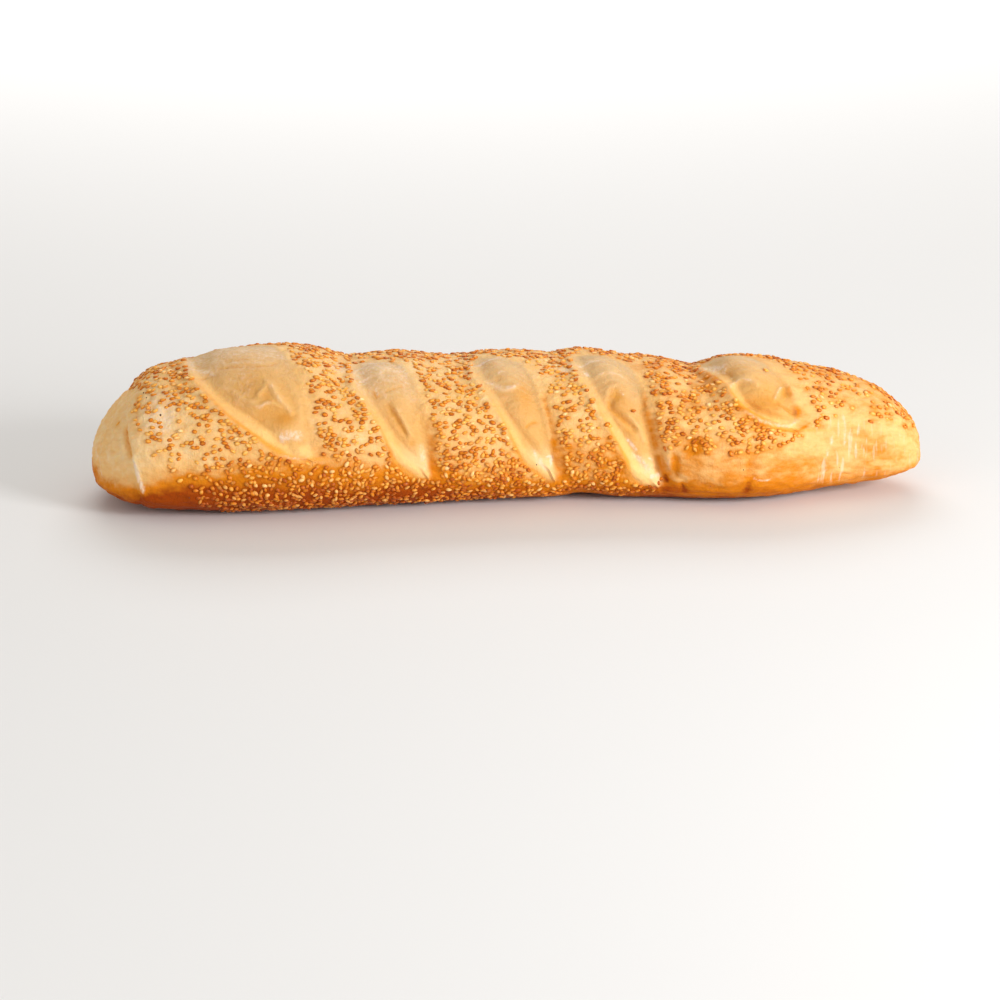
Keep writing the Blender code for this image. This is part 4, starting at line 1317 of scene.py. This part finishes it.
def crust_material(look):
    """Mottled baked dough with opened slashes, browned lips, dust and pale lines of stretched skin, with
    painted shade in hollows, at the slash feet, under the lips, round the seeds and low down, and painted
    highlights on raised folds.
    """
    material, tree, shader, place = start_material(
        "baked_crust", Subsurface_Weight=0.20, Subsurface_Scale=0.003, Specular_IOR_Level=0.09,
        Subsurface_Radius=(1.0, 0.45, 0.15))
    bake = math_node(tree, "ADD", attribute(tree, "bake"), mottle(tree, place, "crust"))
    lengthways = put(tree, "ShaderNodeMapping", {"Vector": place, "Scale": LENGTHWAYS_SCALE}).outputs[0]
    bake = math_node(tree, "ADD", bake, mottle(tree, lengthways, "lengthways"))
    bake = math_node(tree, "ADD", darkened(tree, bake, CRUST_DARKENERS), CRUST_BAKE_SHIFT)
    colour = baked(tree, bake, {"Pale": look.pale, "Gold": look.gold, "Brown": look.brown, "Dark": look.dark})
    colour = mix_colours(tree, attribute(tree, "opened"), colour, opened_colour(tree, place, look))
    colour = tinted(tree, colour, attribute(tree, "lip_line"), LIP_COVER, look.lip)
    dust = attribute(tree, "dust")
    dust = math_node(tree, "MULTIPLY_ADD", dust, mottle(tree, place, "fine dust"), dust)
    dust = math_node(tree, "ADD", dust, mottle(tree, place, "drifted dust"))
    dust = math_node(tree, "MULTIPLY", stretched(tree, *DUST_RANGE, dust), DUST_COVER)
    colour = mix_colours(tree, dust, colour, opaque(look.flour))
    upright = put(tree, "ShaderNodeMapping", {"Vector": place, "Scale": LINES_SCALE, "Rotation": LINES_TURN})
    lines = put(tree, "ShaderNodeTexNoise",
                {"Vector": upright.outputs[0], "Scale": LINES_PER_METRE, "Detail": 2.0}).outputs["Fac"]
    lines = math_node(tree, "MULTIPLY", stretched(tree, *LINES_RANGE, lines), attribute(tree, "stretched"))
    colour = tinted(tree, colour, lines, LINES_COVER, look.flour)
    tree.links.new(colour, shader.inputs["Base Color"])
    rough = math_node(tree, "ADD", look.roughness, mottle(tree, place, "crust roughness"))
    rough = math_node(tree, "MULTIPLY_ADD", dust, DUST_ROUGHNESS, rough)
    tree.links.new(rough, shader.inputs["Roughness"])
    skin = math_node(tree, "ADD", mottle(tree, place, "skin"), mottle(tree, place, "fine skin"))
    bump = put(tree, "ShaderNodeBump", {"Height": skin, "Strength": 0.6, "Distance": 0.0010})
    tree.links.new(bump.outputs["Normal"], shader.inputs["Normal"])
    return material


def seed_material(name, tones, look):
    """A hulled seed, each in its own tone: lighter on its crown as a painted highlight, and browner
    towards its rim, partly toasting and partly painted shade.
    """
    material, tree, shader, place = start_material(
        name, Subsurface_Weight=0.08, Subsurface_Scale=0.001, Specular_IOR_Level=0.3,
        Subsurface_Radius=(1.0, 0.5, 0.2))
    bake = darkened(tree, SEED_BAKE_SHIFT, SEED_DARKENERS)
    bake = math_node(tree, "ADD", bake, mottle(tree, place, "seed"))
    tree.links.new(baked(tree, bake, tones), shader.inputs["Base Color"])
    rough = math_node(tree, "ADD", look.roughness, mottle(tree, place, "seed roughness"))
    tree.links.new(rough, shader.inputs["Roughness"])
    skin = mottle(tree, place, "seed skin")
    bump = put(tree, "ShaderNodeBump", {"Height": skin, "Strength": 0.3, "Distance": 0.0001})
    tree.links.new(bump.outputs["Normal"], shader.inputs["Normal"])
    return material


def fleck_material():
    """Burnt crumbs, nearly black."""
    material, tree, shader, place = start_material("burnt_fleck")
    bake = math_node(tree, "ADD", BURNT_BAKE, mottle(tree, place, "fleck"))
    tree.links.new(baked(tree, bake, BURNT), shader.inputs["Base Color"])
    rough = math_node(tree, "ADD", BURNT_ROUGHNESS, mottle(tree, place, "fleck roughness"))
    tree.links.new(rough, shader.inputs["Roughness"])
    return material


def random_value(tree, low, high, draw, kind="FLOAT"):
    """A value drawn for each point in a named draw: a number, a vector or a whole number."""
    first, out = {"FLOAT_VECTOR": (0, 0), "FLOAT": (2, 1), "INT": (4, 2)}[kind]
    given = {first: low, first + 1: high, "Seed": DRAWS[draw]}
    return put(tree, "FunctionNodeRandomValue", given, data_type=kind).outputs[out]


def named_value(tree, name):
    node = put(tree, "GeometryNodeInputNamedAttribute", {"Name": name}, data_type="FLOAT")
    return node.outputs["Attribute"]


def relief_tree():
    """Pushes a surface in and out by soft lumps and a finer grain."""
    tree = bpy.data.node_groups.new("Crust Relief", "GeometryNodeTree")
    given, result = sockets(
        tree,
        {"Geometry": "Geometry", "Lump Size": "Float", "Lump Height": "Float", "Grain Size": "Float",
         "Grain Height": "Float", "Material": "Material"},
        {"Geometry": "Geometry"})
    place = put(tree, "GeometryNodeInputPosition").outputs[0]
    along = put(tree, "ShaderNodeVectorMath", {0: place, 1: LUMP_SCALE}, operation="MULTIPLY").outputs[0]
    heights = []
    for name in ("Lump", "Grain"):
        scale = math_node(tree, "DIVIDE", 1.0, given[f"{name} Size"])
        noise = put(tree, "ShaderNodeTexNoise", {"Vector": along, "Scale": scale, "Detail": 1.0})
        centred = math_node(tree, "SUBTRACT", noise.outputs["Fac"], 0.5)
        heights.append(math_node(tree, "MULTIPLY", centred, given[f"{name} Height"]))
    height = math_node(tree, "MULTIPLY", math_node(tree, "ADD", *heights), named_value(tree, "lumpy"))
    normal = put(tree, "GeometryNodeInputNormal").outputs[0]
    offset = put(tree, "ShaderNodeVectorMath", {0: normal, "Scale": height}, operation="SCALE").outputs[0]
    pushed = put(tree, "GeometryNodeSetPosition", {"Geometry": given["Geometry"], "Offset": offset})
    finish(tree, pushed.outputs[0], given["Material"], result["Geometry"])
    return tree


def finish(tree, geometry, material, result):
    """Ends a tree: the shape is made real and takes its material."""
    real = put(tree, "GeometryNodeRealizeInstances", {"Geometry": geometry}).outputs[0]
    done = put(tree, "GeometryNodeSetMaterial", {"Geometry": real, "Material": material}).outputs[0]
    tree.links.new(done, result)


def scaled(tree, vector, factor):
    return put(tree, "ShaderNodeVectorMath", {0: vector, "Scale": factor}, operation="SCALE").outputs[0]


def sprinkle_tree():
    """Scatters seeds over a surface where its seed_cover says, and keeps the pale or the toasted ones."""
    tree = bpy.data.node_groups.new("Sprinkle Seeds", "GeometryNodeTree")
    given, result = sockets(
        tree,
        {"Geometry": "Geometry", "Seeds": "Collection", "Kinds": "Int", "Spacing": "Float",
         "Most Per Area": "Float", "Size Spread": "Float", "Turn": "Float", "Tilt": "Float", "Sink": "Float",
         "Sink Spread": "Float", "Pale": "Bool", "Draw": "Int", "Material": "Material"},
        {"Geometry": "Geometry"})
    scatter = put(
        tree, "GeometryNodeDistributePointsOnFaces",
        {"Mesh": given["Geometry"], "Distance Min": given["Spacing"], "Density Max": given["Most Per Area"],
         "Density Factor": named_value(tree, "seed_cover"), "Seed": given["Draw"]},
        distribute_method="POISSON")
    chance = random_value(tree, 0.0, 1.0, "pale")
    is_pale = put(tree, "FunctionNodeCompare", {0: chance, 1: named_value(tree, "pale_share")},
                  data_type="FLOAT", operation="LESS_THAN").outputs[0]
    other = put(tree, "FunctionNodeBooleanMath", {0: is_pale, 1: given["Pale"]}, operation="XOR").outputs[0]
    points = scatter.outputs["Points"]
    kept = put(tree, "GeometryNodeDeleteGeometry", {"Geometry": points, "Selection": other},
               domain="POINT").outputs[0]
    lie = put(tree, "FunctionNodeAxesToRotation",
              {"Primary Axis": scatter.outputs["Normal"], "Secondary Axis": (1.0, 0.0, 0.0)},
              primary_axis="Z", secondary_axis="X").outputs[0]
    disorder = math_node(tree, "MULTIPLY_ADD", named_value(tree, "disorder"), DISORDER_TURN, 1.0)
    turn = math_node(tree, "MULTIPLY", given["Turn"], disorder)
    most = put(tree, "ShaderNodeCombineXYZ", {0: given["Tilt"], 1: given["Tilt"], 2: turn}).outputs[0]
    turns = random_value(tree, scaled(tree, most, -1.0), most, "turn", "FLOAT_VECTOR")
    turned = put(tree, "FunctionNodeRotateRotation", {"Rotation": lie, "Rotate By": turns},
                 rotation_space="LOCAL").outputs[0]
    small, large = (scaled(tree, (1, 1, 1), math_node(tree, way, 1.0, given["Size Spread"]))
                    for way in ("SUBTRACT", "ADD"))
    seeds = put(tree, "GeometryNodeCollectionInfo",
                {"Collection": given["Seeds"], "Separate Children": True, "Reset Children": True}).outputs[0]
    kind = random_value(tree, 0, math_node(tree, "SUBTRACT", given["Kinds"], 1.0), "kind", "INT")
    placed = put(
        tree, "GeometryNodeInstanceOnPoints",
        {"Points": kept, "Instance": seeds, "Pick Instance": True, "Instance Index": kind,
         "Rotation": turned, "Scale": random_value(tree, small, large, "size", "FLOAT_VECTOR")}).outputs[0]
    deepest = math_node(tree, "ADD", given["Sink"], given["Sink Spread"])
    sunken = random_value(tree, given["Sink"], deepest, "sink")
    down = put(tree, "ShaderNodeCombineXYZ", {2: math_node(tree, "MULTIPLY", sunken, -1.0)}).outputs[0]
    sunk = put(tree, "GeometryNodeTranslateInstances",
               {"Instances": placed, "Translation": down, "Local Space": True}).outputs[0]
    toned = put(tree, "GeometryNodeStoreNamedAttribute",
                {"Geometry": sunk, "Name": "tone", "Value": random_value(tree, 0.0, 1.0, "tone")},
                data_type="FLOAT", domain="INSTANCE").outputs[0]
    finish(tree, toned, given["Material"], result["Geometry"])
    return tree


def shaped_by(mesh, tree, values):
    """The plain mesh that a tree makes of a mesh, with the tree's inputs set by name."""
    carrier = bpy.data.objects.new("carrier", mesh)
    bpy.context.scene.collection.objects.link(carrier)
    modifier = carrier.modifiers.new(tree.name, "NODES")
    modifier.node_group = tree
    for item in tree.interface.items_tree:
        if item.in_out == "INPUT" and item.name in values:
            modifier[item.identifier] = values[item.name]
    made = bpy.data.meshes.new_from_object(carrier.evaluated_get(bpy.context.evaluated_depsgraph_get()))
    carrier.modifiers.remove(modifier)
    bpy.data.objects.remove(carrier)
    return made


def show(name, mesh):
    """Links a finished piece, which rides on the loaf's body."""
    mesh.name = name
    piece = bpy.data.objects.new(name, mesh)
    bpy.context.scene.collection.objects.link(piece)
    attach(piece, "root")
    return piece


def seed_shape(number, length, width, thickness):
    """A flat seed, pointed at one end, with its rim marked for the material."""
    facets, rings = SEED_FACETS
    shaped = bmesh.new()
    bmesh.ops.create_uvsphere(shaped, u_segments=facets, v_segments=rings, radius=0.5)
    point = SEED_POINT[0] + SEED_POINT[1] * number
    bend = SEED_BEND * (number - MIDDLE_KIND)
    for vertex in shaped.verts:
        far = vertex.co.z
        round_x = vertex.co.x * (1 - point * far)
        round_y = vertex.co.y * (1 - FLAT_POINT_SHARE * point * far)
        vertex.co = (far * length, (round_x + bend * (far * far - BEND_BALANCE)) * width, round_y * thickness)
    bmesh.ops.recalc_face_normals(shaped, faces=shaped.faces)
    mesh = settled(mesh_from(shaped, f"seed_shape_{number}"))
    mesh.shade_smooth()
    half_length, half_width = length / 2, width / 2
    out = [math.hypot(vertex.co.x / half_length, vertex.co.y / half_width) for vertex in mesh.vertices]
    # The rim mark carries painted shade at the seed's edge and leaves its crown as a painted highlight.
    paint(mesh, "rim", [min(1.0, share) ** 2 for share in out])
    return bpy.data.objects.new(mesh.name, mesh)


class CrustLook(bpy.types.PropertyGroup):
    lump_size: FloatProperty(
        name="Lump Size", description="Size of the soft lumps", default=0.012, unit="LENGTH")
    lump_height: FloatProperty(
        name="Lump Height", description="Height of the soft lumps", default=0.0022, unit="LENGTH")
    grain_size: FloatProperty(
        name="Grain Size", description="Size of the fine grain", default=0.0038, unit="LENGTH")
    grain_height: FloatProperty(
        name="Grain Height", description="Height of the fine grain", default=0.0024, unit="LENGTH")
    pale: FloatVectorProperty(
        name="Pale", description="Barely baked dough", subtype="COLOR", default=(0.89, 0.655, 0.36))
    gold: FloatVectorProperty(
        name="Gold", description="Golden crust", subtype="COLOR", default=(0.86, 0.50, 0.185))
    brown: FloatVectorProperty(
        name="Brown", description="Well baked crust", subtype="COLOR", default=(0.69, 0.215, 0.005))
    # The darkest crust, low down: browning and in part painted shade.
    dark: FloatVectorProperty(
        name="Dark", description="Crust underneath", subtype="COLOR", default=(0.34, 0.055, 0.001))
    opened: FloatVectorProperty(
        name="Opened", description="Middle of a slash", subtype="COLOR", default=(0.73, 0.395, 0.125))
    # Also the colour of the painted highlight on raised folds.
    opened_low: FloatVectorProperty(
        name="Opened Low", description="Low in a slash", subtype="COLOR", default=(0.90, 0.61, 0.30))
    opened_top: FloatVectorProperty(
        name="Opened Top", description="High in a slash", subtype="COLOR", default=(0.70, 0.452, 0.218))
    bevel: FloatVectorProperty(
        name="Bevel", description="Under a lip", subtype="COLOR", default=(0.93, 0.56, 0.20))
    # The lip line: browned, and low in a slash also painted shadow under the raised lip.
    lip: FloatVectorProperty(
        name="Lip", description="Edge of a slash", subtype="COLOR", default=(0.88, 0.35, 0.045))
    # Painted shade, with some browning, in the hollows of a slash and at its foot.
    scorched_and_shaded: FloatVectorProperty(
        name="Scorched", description="Hollows in a slash", subtype="COLOR", default=(0.68, 0.29, 0.045))
    flour: FloatVectorProperty(
        name="Flour", description="Dusty crust", subtype="COLOR", default=(0.85, 0.66, 0.50))
    roughness: FloatProperty(
        name="Roughness", description="Roughness of the crust", default=0.52, subtype="FACTOR")


class SeedLook(bpy.types.PropertyGroup):
    length: FloatProperty(name="Length", description="Length of a seed", default=0.0037, unit="LENGTH")
    width: FloatProperty(name="Width", description="Width of a seed", default=0.0024, unit="LENGTH")
    thickness: FloatProperty(
        name="Thickness", description="Thickness of a seed", default=0.0016, unit="LENGTH")
    spacing: FloatProperty(
        name="Spacing", description="Least distance between two seeds", default=0.0019, unit="LENGTH")
    most: FloatProperty(
        name="Most", description="Seeds on a square metre where they lie thickest", default=200000.0)
    spread: FloatProperty(name="Size Spread", description="How much seeds differ in size", default=0.20)
    turn: FloatProperty(
        name="Turn", description="Most turn away from the length of the loaf", default=0.46, subtype="ANGLE")
    tilt: FloatProperty(name="Tilt", description="Most tilt from lying flat", default=0.24, subtype="ANGLE")
    sink: FloatProperty(
        name="Sink", description="Least depth of a seed's middle in the crust", default=-0.0003,
        unit="LENGTH")
    sink_spread: FloatProperty(
        name="Sink Spread", description="How much deeper seeds may lie", default=0.0006, unit="LENGTH")
    draw: IntProperty(name="Draw", description="Number of the random draw", default=5)
    roughness: FloatProperty(
        name="Roughness", description="Roughness of a seed", default=0.36, subtype="FACTOR")
    # How far the painted contact shade, with some browning, reaches round a seed.
    halo: FloatProperty(
        name="Halo", description="How far the crust is browner round a seed", default=0.0024, unit="LENGTH")


class StageLook(bpy.types.PropertyGroup):
    floor: FloatVectorProperty(
        name="Floor", description="Colour of the floor", subtype="COLOR", default=(0.80, 0.80, 0.81))
    key_power: FloatProperty(name="Key", description="Power of the main light", default=24.0, unit="POWER")
    fill_power: FloatProperty(
        name="Fill", description="Power of the soft light on the left", default=3.0, unit="POWER")
    back_power: FloatProperty(
        name="Backdrop", description="Power of the light on the floor behind", default=60.0, unit="POWER")
    sky: FloatProperty(name="Sky", description="Strength of the light from all sides", default=0.48)


class BAGUETTE_OT_crust(bpy.types.Operator):
    """Bakes the crust with its slashes, folds and wrinkles"""
    bl_idname = "baguette.crust"
    bl_label = "Bake the Crust"

    def execute(self, context):
        look = context.scene.baguette_crust
        mesh, x, angle = loaf_grid()
        fine = fine_relief(x, angle)
        points = crust_points(x, angle, fine)
        mesh.vertices.foreach_set("co", points.ravel())
        shaped = bmesh.new()
        shaped.from_mesh(mesh)
        bmesh.ops.recalc_face_normals(shaped, faces=shaped.faces)
        shaped.to_mesh(mesh)
        shaped.free()
        mesh = settled(mesh)
        for name, values in crust_masks(x, angle, points[:, 2], fine).items():
            paint(mesh, name, values)
        mesh.shade_smooth()
        made = shaped_by(mesh, relief_tree(), {
            "Lump Size": look.lump_size, "Lump Height": look.lump_height, "Grain Size": look.grain_size,
            "Grain Height": look.grain_height, "Material": crust_material(look)})
        bpy.data.meshes.remove(mesh)
        crust = show("crust", made)
        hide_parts(LOAF)
        return {"FINISHED"}


class BAGUETTE_OT_seeds(bpy.types.Operator):
    """Sprinkles toasted and pale sesame seeds over the crust"""
    bl_idname = "baguette.seeds"
    bl_label = "Sprinkle the Seeds"

    def execute(self, context):
        look = context.scene.baguette_seeds
        shapes = bpy.data.collections.new("seed_shapes")
        for number in range(SEED_KINDS):
            shapes.objects.link(seed_shape(number, look.length, look.width, look.thickness))
        corners = len(shapes.objects[0].data.vertices)
        tree = sprinkle_tree()
        crust = bpy.data.objects["crust"]
        places = []
        for name, tones, is_pale in (("seeds_toasted", TOASTED, False), ("seeds_pale", BARELY_TOASTED, True)):
            made = shaped_by(crust.data, tree, {
                "Seeds": shapes, "Kinds": SEED_KINDS, "Spacing": look.spacing, "Most Per Area": look.most,
                "Size Spread": look.spread, "Turn": look.turn, "Tilt": look.tilt, "Sink": look.sink,
                "Sink Spread": look.sink_spread, "Pale": is_pale, "Draw": look.draw,
                "Material": seed_material(name, tones, look)})
            show(name, made)
            places.append(vertex_places(made).reshape(-1, corners, 3).mean(1))
        # Painted contact shade, with some browning, on the crust round each seed.
        near = nearness(vertex_places(crust.data), np.concatenate(places), look.halo)
        paint(crust.data, "near_seed", near)
        for shape in list(shapes.objects):
            bpy.data.objects.remove(shape)
        bpy.data.collections.remove(shapes)
        return {"FINISHED"}


class BAGUETTE_OT_flecks(bpy.types.Operator):
    """Lays a few burnt flecks on the crust"""
    bl_idname = "baguette.flecks"
    bl_label = "Add Burnt Flecks"

    def execute(self, context):
        shaped = bmesh.new()
        x, angle, length = (np.array(column) for column in zip(*FLECKS))
        crust = bpy.data.objects["crust"]
        for place, size in zip(crust_points(x, angle, np.zeros_like(x)), length):
            _, point, normal, _ = crust.closest_point_on_mesh(place)
            lie = normal.to_track_quat("Z", "X").to_matrix().to_4x4()
            scale = Matrix.Diagonal((size, FLECK_WIDTH * size, FLECK_HEIGHT * size, 1.0))
            bmesh.ops.create_icosphere(
                shaped, subdivisions=1, radius=0.5, matrix=Matrix.Translation(point) @ lie @ scale)
        mesh = mesh_from(shaped, "flecks")
        mesh.shade_smooth()
        mesh.materials.append(fleck_material())
        show("flecks", mesh)
        return {"FINISHED"}


class BAGUETTE_OT_stage(bpy.types.Operator):
    """Sets up the floor, the lights and the camera"""
    bl_idname = "baguette.stage"
    bl_label = "Set the Stage"

    def execute(self, context):
        look = context.scene.baguette_stage
        scene = context.scene
        scene.view_settings.view_transform = "Standard"
        shaped = bmesh.new()
        bmesh.ops.create_grid(shaped, x_segments=1, y_segments=1, size=FLOOR_SIZE)
        floor = bpy.data.objects.new("floor", mesh_from(shaped, "floor"))
        floor.data.materials.append(floor_material(look))
        scene.collection.objects.link(floor)
        powers = {"key": look.key_power, "fill": look.fill_power, "backdrop": look.back_power}
        for name, power in powers.items():
            add_light(name, power, *LIGHTS[name])
        world = bpy.data.worlds.new("studio")
        world.use_nodes = True
        sky = world.node_tree.nodes["Background"]
        sky.inputs["Color"].default_value = opaque(SKY_COLOUR)
        sky.inputs["Strength"].default_value = look.sky
        scene.world = world
        camera = bpy.data.objects.new("camera", bpy.data.cameras.new("camera"))
        camera.data.lens = CAMERA_LENS
        camera.data.sensor_width = CAMERA_SENSOR
        camera.location = CAMERA_PLACE
        camera.rotation_euler = (math.radians(CAMERA_PITCH), 0.0, math.radians(CAMERA_YAW))
        scene.collection.objects.link(camera)
        scene.camera = camera
        return {"FINISHED"}


def floor_material(look):
    """A pale, faintly uneven floor."""
    material, tree, shader, place = start_material("pale_floor", Roughness=FLOOR_ROUGHNESS)
    tone = math_node(tree, "ADD", 0.5, mottle(tree, place, "floor"))
    shade = [FLOOR_SHADE * part for part in look.floor]
    colour = mix_colours(tree, tone, opaque(look.floor), opaque(shade))
    tree.links.new(colour, shader.inputs["Base Color"])
    return material


def add_light(name, power, place, size, aim):
    """A square lamp that shines from its place towards its aim."""
    light = bpy.data.lights.new(name, "AREA")
    light.energy = power
    light.size = size
    lamp = bpy.data.objects.new(name, light)
    lamp.location = place
    lamp.rotation_euler = (Vector(aim) - Vector(place)).to_track_quat("-Z", "Y").to_euler()
    bpy.context.scene.collection.objects.link(lamp)


class BAGUETTE_PT_panel(bpy.types.Panel):
    """The steps of making the loaf, with what each can change"""
    bl_idname = "BAGUETTE_PT_panel"
    bl_label = "Sesame Baguette"
    bl_space_type = "VIEW_3D"
    bl_region_type = "UI"
    bl_category = "Baguette"

    def draw(self, context):
        for group, operators in STEPS:
            box = self.layout.box()
            for operator in operators:
                box.operator(operator.bl_idname)
            settings = getattr(context.scene, group)
            for name in settings.__annotations__:
                box.prop(settings, name)


GROUPS = {"baguette_crust": CrustLook, "baguette_seeds": SeedLook, "baguette_stage": StageLook}
STEPS = (
    ("baguette_crust", (BAGUETTE_OT_crust,)),
    ("baguette_seeds", (BAGUETTE_OT_seeds, BAGUETTE_OT_flecks)),
    ("baguette_stage", (BAGUETTE_OT_stage,)),
)
CLASSES = (*GROUPS.values(), BAGUETTE_OT_crust, BAGUETTE_OT_seeds, BAGUETTE_OT_flecks, BAGUETTE_OT_stage,
           BAGUETTE_PT_panel)


def register():
    for cls in CLASSES:
        bpy.utils.register_class(cls)
    for name, group in GROUPS.items():
        setattr(bpy.types.Scene, name, PointerProperty(type=group))


def unregister():
    for name in GROUPS:
        delattr(bpy.types.Scene, name)
    for cls in reversed(CLASSES):
        bpy.utils.unregister_class(cls)


def main():
    register()
    bpy.ops.baguette.crust()
    bpy.ops.baguette.seeds()
    bpy.ops.baguette.flecks()
    bpy.ops.baguette.stage()


if __name__ == "__main__":
    main()
